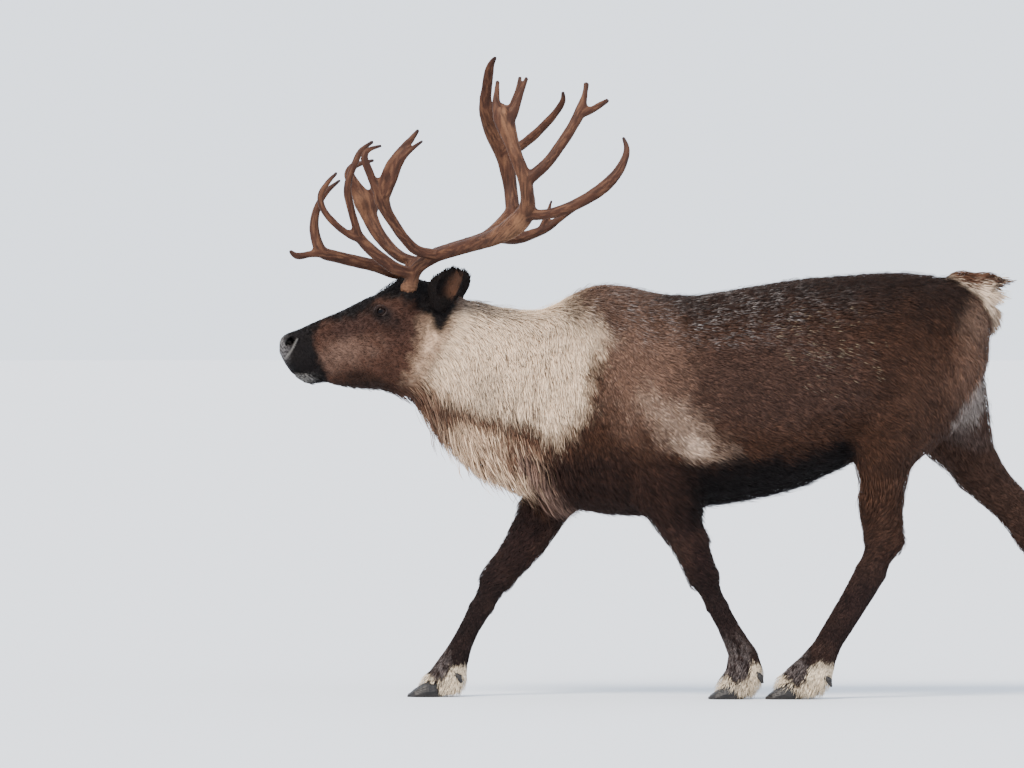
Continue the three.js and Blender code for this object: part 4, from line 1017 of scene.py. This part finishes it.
coatEnds = {"shoulder": 200, "flank": 540}  # where each ends, going back
faceLabels, faceKinds = labels[skinFaces[:, 0]], kinds[skinFaces[:, 0]]
faceSpots = places[skinFaces].mean(axis=1)
x, y, z = faceSpots.T
byEye = np.min([np.linalg.norm(skinPoints[skinFaces].mean(axis=1) - middleOf("eye_" + name), axis=1)
                for name in sides], axis=0) < eyeSpot["bare"] * millimetre
onTorso, onNeck = faceKinds == "torso", faceKinds == "neck"
behind, atRump = x >= coatEnds["shoulder"], x >= coatEnds["flank"]
isLeg = (faceKinds == "upper") | (faceKinds == "lower")
isFore = np.isin(faceLabels, [index for index, name in enumerate(flesh) if "fore" in name])
coatPieces = [
    {"title": "coat_head", "where": (faceKinds == "head") & ~byEye, "count": 27000, "rings": 1,
     "slot": "coat_brown"},
    {"title": "coat_ears", "where": faceKinds == "ear", "count": 5000, "rings": 1, "slot": "coat_dark"},
    {"title": "coat_tail", "where": faceKinds == "tail", "count": 2400, "rings": 4, "slot": "coat_pale",
     "clump": 0.35},
    {"title": "coat_forelegs", "where": isLeg & isFore, "count": 24000, "rings": 1, "slot": "coat_dark"},
    {"title": "coat_hindlegs", "where": isLeg & ~isFore, "count": 33000, "rings": 1, "slot": "coat_dark"},
]
for name, side in sides.items():
    near = y * side >= 0
    coatPieces += [
        {"title": "coat_neck_" + name, "where": onNeck & near, "count": 12000, "rings": 2,
         "slot": "coat_pale", "clump": 0.14},
        {"title": "coat_shoulder_" + name, "where": onTorso & ~behind & near, "count": 20000, "rings": 1,
         "slot": "coat_brown"},
        {"title": "coat_flank_" + name, "where": onTorso & behind & ~atRump & near, "count": 15000,
         "rings": 1, "slot": "coat_brown"},
        {"title": "coat_rump_" + name, "where": onTorso & atRump & near, "count": 14000, "rings": 1,
         "slot": "coat_brown"},
    ]
tufts = 0
for seed, part in enumerate(coatPieces):
    piece = growCoat(part["title"], np.flatnonzero(part["where"]), part["count"], part["rings"],
                     100 + 7 * seed, part.get("clump", 0.2))
    tufts += len(piece.data.polygons)
print("coat grown:", tufts, "triangles")
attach(skin, "root")
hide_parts(*flesh)

# Antlers: points along each branch, with its half breadth seen from the side
antlerMake = {
    "voxel": 3.3, "fillet": 3.5,  # the branches are made this much thicker, fused and drawn in again
    "thicker": 1.07, "groove": 0.55, "knobs": 1.8, "smooth": 9, "middle": -40, "spread": 1.12,
}
antlerBranches = {
    "left": {
        "beam": [(-683, -49, 1134, 16), (-680, -53, 1149, 22), (-676, -58, 1160, 18.5), (-659, -72, 1202, 17),
                 (-624, -95, 1230, 17), (-588, -128, 1247, 17), (-498, -212, 1275, 19),
                 (-443, -270, 1295, 23), (-388, -325, 1326, 29), (-353, -355, 1362, 28),
                 (-346, -368, 1410, 21)],
        "brow": [(-676, -68, 1190, 15), (-717, -74, 1203, 16), (-757, -80, 1230, 16), (-795, -86, 1262, 15),
                 (-821, -90, 1292, 13), (-834, -97, 1330, 10.5), (-848, -104, 1380, 10.5),
                 (-856, -107, 1422, 10.5), (-850, -106, 1459, 9.5), (-834, -101, 1498, 9),
                 (-817, -94, 1532, 7.5), (-783, -84, 1558, 4)],
        "browFork": [(-806, -90, 1282, 11), (-846, -92, 1296, 9.5), (-882, -93, 1322, 9),
                     (-913, -91, 1355, 8.5), (-928, -88, 1386, 8.5), (-927, -84, 1414, 8),
                     (-907, -78, 1445, 6.5), (-882, -70, 1471, 3.5)],
        "bez": [(-606, -112, 1242, 14), (-660, -120, 1253, 14), (-698, -138, 1285, 13.5),
                (-728, -154, 1325, 14), (-753, -167, 1364, 16), (-767, -176, 1404, 22),
                (-758, -185, 1448, 17), (-741, -190, 1492, 15), (-712, -192, 1534, 12),
                (-688, -190, 1562, 9), (-666, -186, 1590, 4)],
        "bezFork": [(-764, -176, 1396, 14), (-786, -180, 1434, 11.5), (-803, -180, 1476, 11),
                    (-815, -177, 1512, 10), (-804, -172, 1534, 7), (-767, -163, 1547, 3.5)],
        "bezTop": [(-756, -184, 1408, 12), (-735, -196, 1456, 10), (-720, -202, 1498, 9.5),
                   (-697, -206, 1529, 8), (-656, -208, 1560, 3.5)],
        "upright": [(-348, -362, 1372, 22), (-351, -374, 1425, 22), (-364, -375, 1470, 21),
                    (-385, -371, 1516, 21), (-400, -358, 1558, 23), (-418, -341, 1608, 31),
                    (-424, -333, 1632, 33), (-424, -329, 1650, 24)],
        "uprightFront": [(-432, -338, 1596, 12), (-441, -330, 1640, 17), (-446, -320, 1670, 12.5),
                         (-444, -310, 1698, 8.5), (-441, -300, 1726, 6)],
        "uprightMiddle": [(-412, -338, 1596, 12), (-397, -330, 1644, 14), (-378, -314, 1700, 8.5),
                          (-370, -298, 1737, 5.5)],
        "uprightRear": [(-410, -342, 1592, 12), (-391, -338, 1640, 14), (-366, -326, 1696, 8.5),
                        (-350, -312, 1735, 5.5)],
        "rear": [(-360, -350, 1362, 19), (-308, -366, 1355, 14), (-252, -380, 1366, 14.5),
                 (-195, -385, 1391, 15), (-138, -380, 1427, 16), (-98, -368, 1466, 14),
                 (-74, -352, 1508, 10.5), (-68, -340, 1540, 8), (-78, -330, 1570, 3.5)],
        "back": [(-360, -372, 1446, 20), (-324, -376, 1469, 17), (-286, -372, 1502, 14.5),
                 (-249, -358, 1552, 14.5), (-218, -342, 1600, 14), (-197, -328, 1642, 14.5),
                 (-185, -316, 1684, 8), (-179, -300, 1720, 7)],
        "backFork": [(-198, -330, 1632, 11), (-164, -322, 1646, 9), (-141, -314, 1660, 8.5),
                     (-119, -305, 1673, 5)],
    },
    "right": {
        "beam": [(-688, 36, 1134, 16), (-686, 32, 1149, 22), (-682, 29, 1160, 18.5), (-664, 36, 1202, 17),
                 (-627, 55, 1228, 16), (-582, 92, 1246, 16), (-504, 172, 1268, 17), (-446, 228, 1285, 20),
                 (-406, 280, 1314, 23), (-384, 312, 1350, 17), (-380, 324, 1378, 10)],
        "brow": [(-682, 22, 1182, 15), (-722, 12, 1193, 16), (-767, 4, 1210, 16.5), (-820, -3, 1222, 16.5),
                 (-874, -9, 1235, 16), (-918, -13, 1249, 16), (-935, -8, 1288, 14), (-939, -3, 1327, 12),
                 (-932, 1, 1366, 10), (-918, 4, 1397, 8.5), (-896, 7, 1425, 7), (-865, 10, 1450, 3.5)],
        "browFork": [(-912, -12, 1246, 13), (-949, -15, 1243, 9), (-988, -19, 1238, 9),
                     (-1009, -22, 1252, 5)],
        "bez": [(-644, 46, 1219, 14), (-688, 55, 1233, 15), (-722, 75, 1262, 16), (-755, 92, 1306, 18.5),
                (-774, 106, 1350, 22), (-788, 114, 1390, 28), (-808, 118, 1424, 19), (-824, 119, 1450, 16),
                (-829, 118, 1471, 13), (-817, 115, 1489, 10), (-792, 110, 1498, 7), (-762, 104, 1505, 4)],
        "bezFork": [(-768, 112, 1366, 18), (-753, 120, 1410, 13), (-763, 124, 1442, 9), (-772, 122, 1468, 4)],
        "upright": [(-376, 322, 1366, 17), (-380, 336, 1417, 16), (-384, 341, 1450, 17),
                    (-397, 341, 1516, 20), (-423, 326, 1585, 22), (-440, 305, 1640, 19.5),
                    (-445, 294, 1677, 14.5), (-443, 286, 1702, 13), (-439, 270, 1744, 12),
                    (-433, 257, 1774, 9), (-421, 246, 1796, 4)],
        "rear": [(-430, 262, 1292, 17), (-370, 296, 1284, 16), (-325, 318, 1297, 13), (-286, 330, 1314, 11),
                 (-252, 335, 1340, 9.5), (-213, 334, 1366, 7), (-179, 326, 1383, 4)],
        "rearFork": [(-304, 326, 1312, 8), (-288, 332, 1347, 6.5), (-274, 334, 1392, 3)],
        "back": [(-400, 338, 1528, 9), (-372, 336, 1534, 12), (-336, 326, 1562, 12), (-294, 312, 1604, 11.5),
                 (-262, 300, 1640, 10), (-243, 288, 1672, 8), (-242, 276, 1698, 4)],
    },
}
flatness = {"upright": 0.62, "bez": 0.66, "back": 0.82}  # a branch's thickness as a share of its breadth
branches = ["beam", "brow", "bez", "upright", "rear", "back"]


def smoothPath(rows, step=6.0):  # points close together on a smooth curve through the given ones
    rows = np.array(rows, float)
    rows = np.vstack([2 * rows[0] - rows[1], rows, 2 * rows[-1] - rows[-2]])
    made = []
    for before, start, end, after in zip(rows, rows[1:], rows[2:], rows[3:]):
        share = np.arange(0, 1, step / np.linalg.norm((end - start)[:3]))[:, None]
        bend = (2 * before - 5 * start + 4 * end - after) * share**2
        bend += (3 * start - before - 3 * end + after) * share**3
        made.append(0.5 * (2 * start + (end - before) * share + bend))
    return np.vstack(made + [rows[-2:-1]])


def branchTube(rows, flat, grow, around=14):  # a closed tube with a blunt end, flattened across
    path = smoothPath(rows)
    path[:, 1] = antlerMake["middle"] + (path[:, 1] - antlerMake["middle"]) * antlerMake["spread"]
    ahead = unit(np.gradient(path[:, :3], axis=0))
    wide = unit(np.cross(ahead, np.array([0, 1, 0])))
    through = np.cross(wide, ahead)
    half = np.maximum(path[:, 3], 2) * antlerMake["thicker"]
    turn = np.linspace(0, 2 * math.pi, around, endpoint=False)
    flat = 0.92 + (flat - 0.92) * ease(np.linspace(0, 2, len(path)))  # round where it leaves the stem
    ring = np.cos(turn)[None, :, None] * wide[:, None] * (half + grow)[:, None, None]
    ring = ring + np.sin(turn)[None, :, None] * through[:, None] * (half * flat + grow)[:, None, None]
    points = (path[:, None, :3] + ring).reshape(-1, 3)
    nose = path[-1, :3] + ahead[-1] * (0.6 * half[-1] + grow)
    points = placed(np.vstack([points, path[0, :3] - ahead[0] * grow, nose]))
    count, faces = len(path), []
    for step in range(count):
        for corner in range(around):
            a, b = step * around + corner, step * around + (corner + 1) % around
            if step < count - 1:
                faces += [(a, b, b + around), (a, b + around, a + around)]
            if step == 0:
                faces.append((b, a, count * around))
            if step == count - 1:
                faces.append((a, b, count * around + 1))
    return points, np.array(faces), path


# Bone rubbed bare: satin, dark brown in its grooves, tan on ridges and palms, dark at the tips
bone = makeFinish("rubbed antler bone", noise=(190.0, 4.0), shades=("boneTone", 0.72, 1.28),
                  bump=(0.35, 0.001), shader={"Roughness": 0.6, "Specular IOR Level": 0.12})
boneTones = {"groove": "#1d100b", "shaft": "#372016", "palm": "#6e4d36", "tip": "#241613", "burr": "#5e4230"}


def makeAntler(side, finish, seed):
    parts, samples = [], []
    for name, rows in antlerBranches[side].items():
        stem = next(branch for branch in branches if name.startswith(branch))
        points, faces, path = branchTube(rows, flatness.get(stem, 0.9), antlerMake["fillet"])
        parts.append((points, faces))
        length = np.linspace(0, 1, len(path))
        runs = np.gradient(placed(path[:, :3]), axis=0)
        samples.append(np.column_stack([placed(path[:, :3]), runs, path[:, 3], length]))
    starts = np.cumsum([0] + [len(points) for points, faces in parts])
    allPoints = np.vstack([points for points, faces in parts])
    allFaces = np.vstack([faces + start for (points, faces), start in zip(parts, starts)])
    antler = newMesh("antler_bone_" + side, allPoints, allFaces)
    applyModifier(antler, "REMESH", mode="VOXEL", voxel_size=antlerMake["voxel"] * millimetre)
    antler = largestOf(antler)
    trianglesOnly(antler)
    mesh = antler.data
    edges = readEdges(mesh)
    points = relaxed(readPoints(mesh), edges, antlerMake["smooth"])
    writePoints(mesh, points)
    normal = unit(blurred(readPoints(mesh, "normal"), edges, 2))
    points = points - normal * antlerMake["fillet"] * millimetre
    points = relaxed(points, edges, antlerMake["smooth"])

    # What the nearest branch is like: its run, its breadth and how near its tip is
    samples = np.vstack(samples)
    near = samples[nearestIn(samples[:, :3], points)]
    run, breadth, length = unit(blurred(near[:, 3:6], edges, 3)), near[:, 6], near[:, 7]
    breadth, length = blurred(np.column_stack([breadth, length]), edges, 5).T
    draw = np.random.default_rng(seed)
    streak = draw.normal(size=len(points))
    ways = unit(points[edges[:, 1]] - points[edges[:, 0]])
    pull = np.abs(np.sum(ways * run[edges[:, 0]], axis=1)) ** 14 + 1e-4
    total = np.bincount(edges.ravel(), np.repeat(pull, 2), len(points))
    a, b = edges.T
    for turn in range(20):
        drawn = np.bincount(a, streak[b] * pull, len(points)) + np.bincount(b, streak[a] * pull, len(points))
        streak = 0.4 * streak + 0.6 * drawn / total
    streak = np.clip(streak / (1.8 * streak.std()), -1, 1)
    writePoints(mesh, points)
    normal, spots = readPoints(mesh, "normal"), (points - origin) / millimetre
    root = placed([antlerBranches[side]["beam"][1][:3]])[0]
    offRoot = np.linalg.norm(points - root, axis=1) / millimetre
    knobs = antlerMake["knobs"] * ease((40 - offRoot) / 14) * np.clip(wander(spots, 8, seed + 2), -0.4, 1)
    points = points + normal * ((streak * antlerMake["groove"] + knobs) * millimetre)[:, None]
    points = relaxed(points, edges, 1)
    writePoints(mesh, points)

    mottle = wander(spots, 60, seed + 1)
    tone = linear(boneTones["shaft"]) * np.ones((len(points), 1))
    paint = painter(tone, boneTones)
    paint(ease((breadth - 16) / 16) * (0.55 + 0.2 * mottle), "palm")
    paint(np.maximum(streak, 0) * 0.35, "palm")
    paint(np.maximum(-streak, 0) * 0.6, "groove")
    paint(ease((length - 0.8) / 0.2) * ease((9 - breadth) / 5), "tip")
    paint(ease((56 - offRoot) / 44) * (0.7 + 0.25 * knobs), "burr")
    setColours(mesh, "boneTone", tone)
    smoothShaded(antler, finish)
    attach(antler, "root")
    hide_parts(*[f"antler_{side}_{branch}" for branch in branches])
    print(antler.name, len(mesh.polygons), "triangles")


for seed, side in enumerate(sides):
    makeAntler(side, bone, 300 + seed)

# Hooves and dewclaws
hoofMake = {"voxel": 2.2, "grow": 0.2, "smooth": 8, "ring": 0.35, "ringStep": 5.5, "chip": 0.5}

# Hoof horn: charcoal and dull, with rings of growth
horn = makeFinish("charcoal hoof horn", noise=(1.0, 3.0), squash=(40, 40, 260), bump=(0.4, 0.0008),
                  ramp=((0.3, "#080607"), (0.8, "#292523")),
                  shader={"Roughness": 0.5, "Specular IOR Level": 0.3})


def makeHooves(foot, finish):
    names = [f"{part}_{foot}_{side}" for part in ("hoof", "dewclaw") for side in sides]
    piece = copyOf(names, "hooves_" + foot, hoofMake["grow"])
    applyModifier(piece, "REMESH", mode="VOXEL", voxel_size=hoofMake["voxel"] * millimetre)
    trianglesOnly(piece)
    mesh = piece.data
    points = relaxed(readPoints(mesh), readEdges(mesh), hoofMake["smooth"])
    writePoints(mesh, points)
    normal, spots = readPoints(mesh, "normal"), (points - origin) / millimetre
    level = spots[:, 2] + 0.25 * spots[:, 0] + 2 * wander(spots, 30, 51)
    wave = np.sin(level * 2 * math.pi / hoofMake["ringStep"])
    out = hoofMake["ring"] * wave * ease(spots[:, 2] / 12) + hoofMake["chip"] * wander(spots, 9, 52)
    points = points + normal * (out * millimetre)[:, None]
    points[:, 2] = np.maximum(points[:, 2], 0)
    writePoints(mesh, points)
    smoothShaded(piece, finish)
    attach(piece, "root")
    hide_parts(*names)


for foot in feet:
    makeHooves(foot, horn)

# Eyes, with the lids that close round them
lidMake = {"long": 15.2, "high": 11.4, "tilt": 22, "thick": 2.8, "sunk": 3.0, "reach": 20, "bend": 13.5}
eyeTones = {"white": "#1c1310", "iris": "#150c09", "pupil": "#040407"}
eyeMake = {"iris": 0.7, "pupil": 0.3, "pupilHigh": 0.62, "edge": 0.06}  # as shares of the ball's radius

# A wet eye: almost black brown, clear, with a little gloss
wetEye = makeFinish("wet dark eye", noise=(900.0, 3.0), shades=("eyeTone", 0.8, 1.2), shader={
    "Roughness": 0.2, "Specular IOR Level": 0.04, "Coat Weight": 0.08, "Coat Roughness": 0.06})

# Bare lid: black-brown skin, finely wrinkled, with the faint shine of something moist
lidSkin = makeFinish("bare eyelid skin", noise=(520.0, 4.0), bump=(0.6, 0.0008),
                     ramp=((0, "#0b0706"), (1, "#2b1e19")),
                     shader={"Roughness": 0.42, "Specular IOR Level": 0.15})


def eyeWays(side):  # the way an eye looks, and along and up its opening
    gaze = unit(turnedWays(np.array([[-0.22, sides[side], 0.04]]), np.array([[eyeSpot["x"], 0, 0]])))[0]
    turn = math.radians(lidMake["tilt"])
    forward = np.array([-math.cos(turn), 0, -math.sin(turn)])
    forward = unit(forward - gaze * (forward @ gaze))
    return gaze, forward, np.cross(gaze, forward) * np.sign(np.cross(gaze, forward)[2])


def makeEye(side, finish):
    middle = middleOf("eye_" + side)
    radius = (eyeSpot["radius"] - 0.2) * millimetre
    bpy.ops.object.select_all(action="DESELECT")
    bpy.ops.mesh.primitive_uv_sphere_add(segments=48, ring_count=32, radius=radius, location=middle,
                                         rotation=(math.radians(90), 0, 0))
    eye = bpy.context.object
    eye.name = "eyeball_" + side
    bpy.ops.object.transform_apply(location=True, rotation=True, scale=True)
    gaze, forward, up = eyeWays(side)
    off = (readPoints(eye.data) - middle) / radius
    a, b, facing = off @ forward, off @ up, (off @ gaze) > 0
    iris = (ease((eyeMake["iris"] - np.hypot(a, b)) / eyeMake["edge"]) * facing)[:, None]
    slit = np.hypot(a * eyeMake["pupilHigh"], b)
    pupil = (ease((eyeMake["pupil"] - slit) / eyeMake["edge"]) * facing)[:, None]
    tone = linear(eyeTones["white"]) * (1 - iris) + linear(eyeTones["iris"]) * iris
    setColours(eye.data, "eyeTone", tone * (1 - pupil) + linear(eyeTones["pupil"]) * pupil)
    smoothShaded(eye, finish)
    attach(eye, "root")
    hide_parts("eye_" + side)


def makeLids(side, finish):
    middle, (gaze, forward, up) = middleOf("eye_" + side), eyeWays(side)
    bpy.ops.object.select_all(action="DESELECT")
    bpy.ops.mesh.primitive_torus_add(major_segments=72, minor_segments=12, major_radius=1, minor_radius=0.25)
    lids = bpy.context.object
    lids.name = "eyelids_" + side
    ring = readPoints(lids.data)
    turn = np.arctan2(ring[:, 1], ring[:, 0])
    around = np.arctan2(ring[:, 2], np.hypot(ring[:, 0], ring[:, 1]) - 1)
    outward, rise = 0.5 + 0.5 * np.cos(around), np.sin(around)
    almond = np.abs(np.sin(turn)) ** 0.25
    edgeA, edgeB = lidMake["long"] * np.cos(turn), lidMake["high"] * np.sin(turn) * almond
    edgeB = np.where(edgeB > 0, edgeB * 0.92, edgeB)  # the upper lid lies lower over the eye
    reach = lidMake["reach"]
    a = edgeA * (1 - outward) + reach * np.cos(turn) * outward
    b = edgeB * (1 - outward) + reach * np.sin(turn) * outward
    fold = 0.5 * np.cos(6 * math.pi * outward) * (np.sin(turn) > 0)
    lift = np.where(rise > 0, (lidMake["thick"] + fold) * rise, lidMake["sunk"] * rise) + 0.4
    lift = lift * (1 - 0.3 * outward)
    off = np.hypot(a, b)
    bend = np.minimum(off, lidMake["bend"])  # past this the lids leave the ball and run out under the coat
    out = np.sqrt((eyeSpot["radius"] + lift) ** 2 - bend**2) - 0.5 * (off - bend)
    points = a[:, None] * forward + b[:, None] * up + out[:, None] * gaze
    writePoints(lids.data, points * millimetre + middle)
    editMesh(lids, bpy.ops.mesh.normals_make_consistent, inside=False)
    smoothShaded(lids, finish)
    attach(lids, "root")


for side in sides:
    makeEye(side, wetEye)
    makeLids(side, lidSkin)
print("antlers, hooves and eyes")
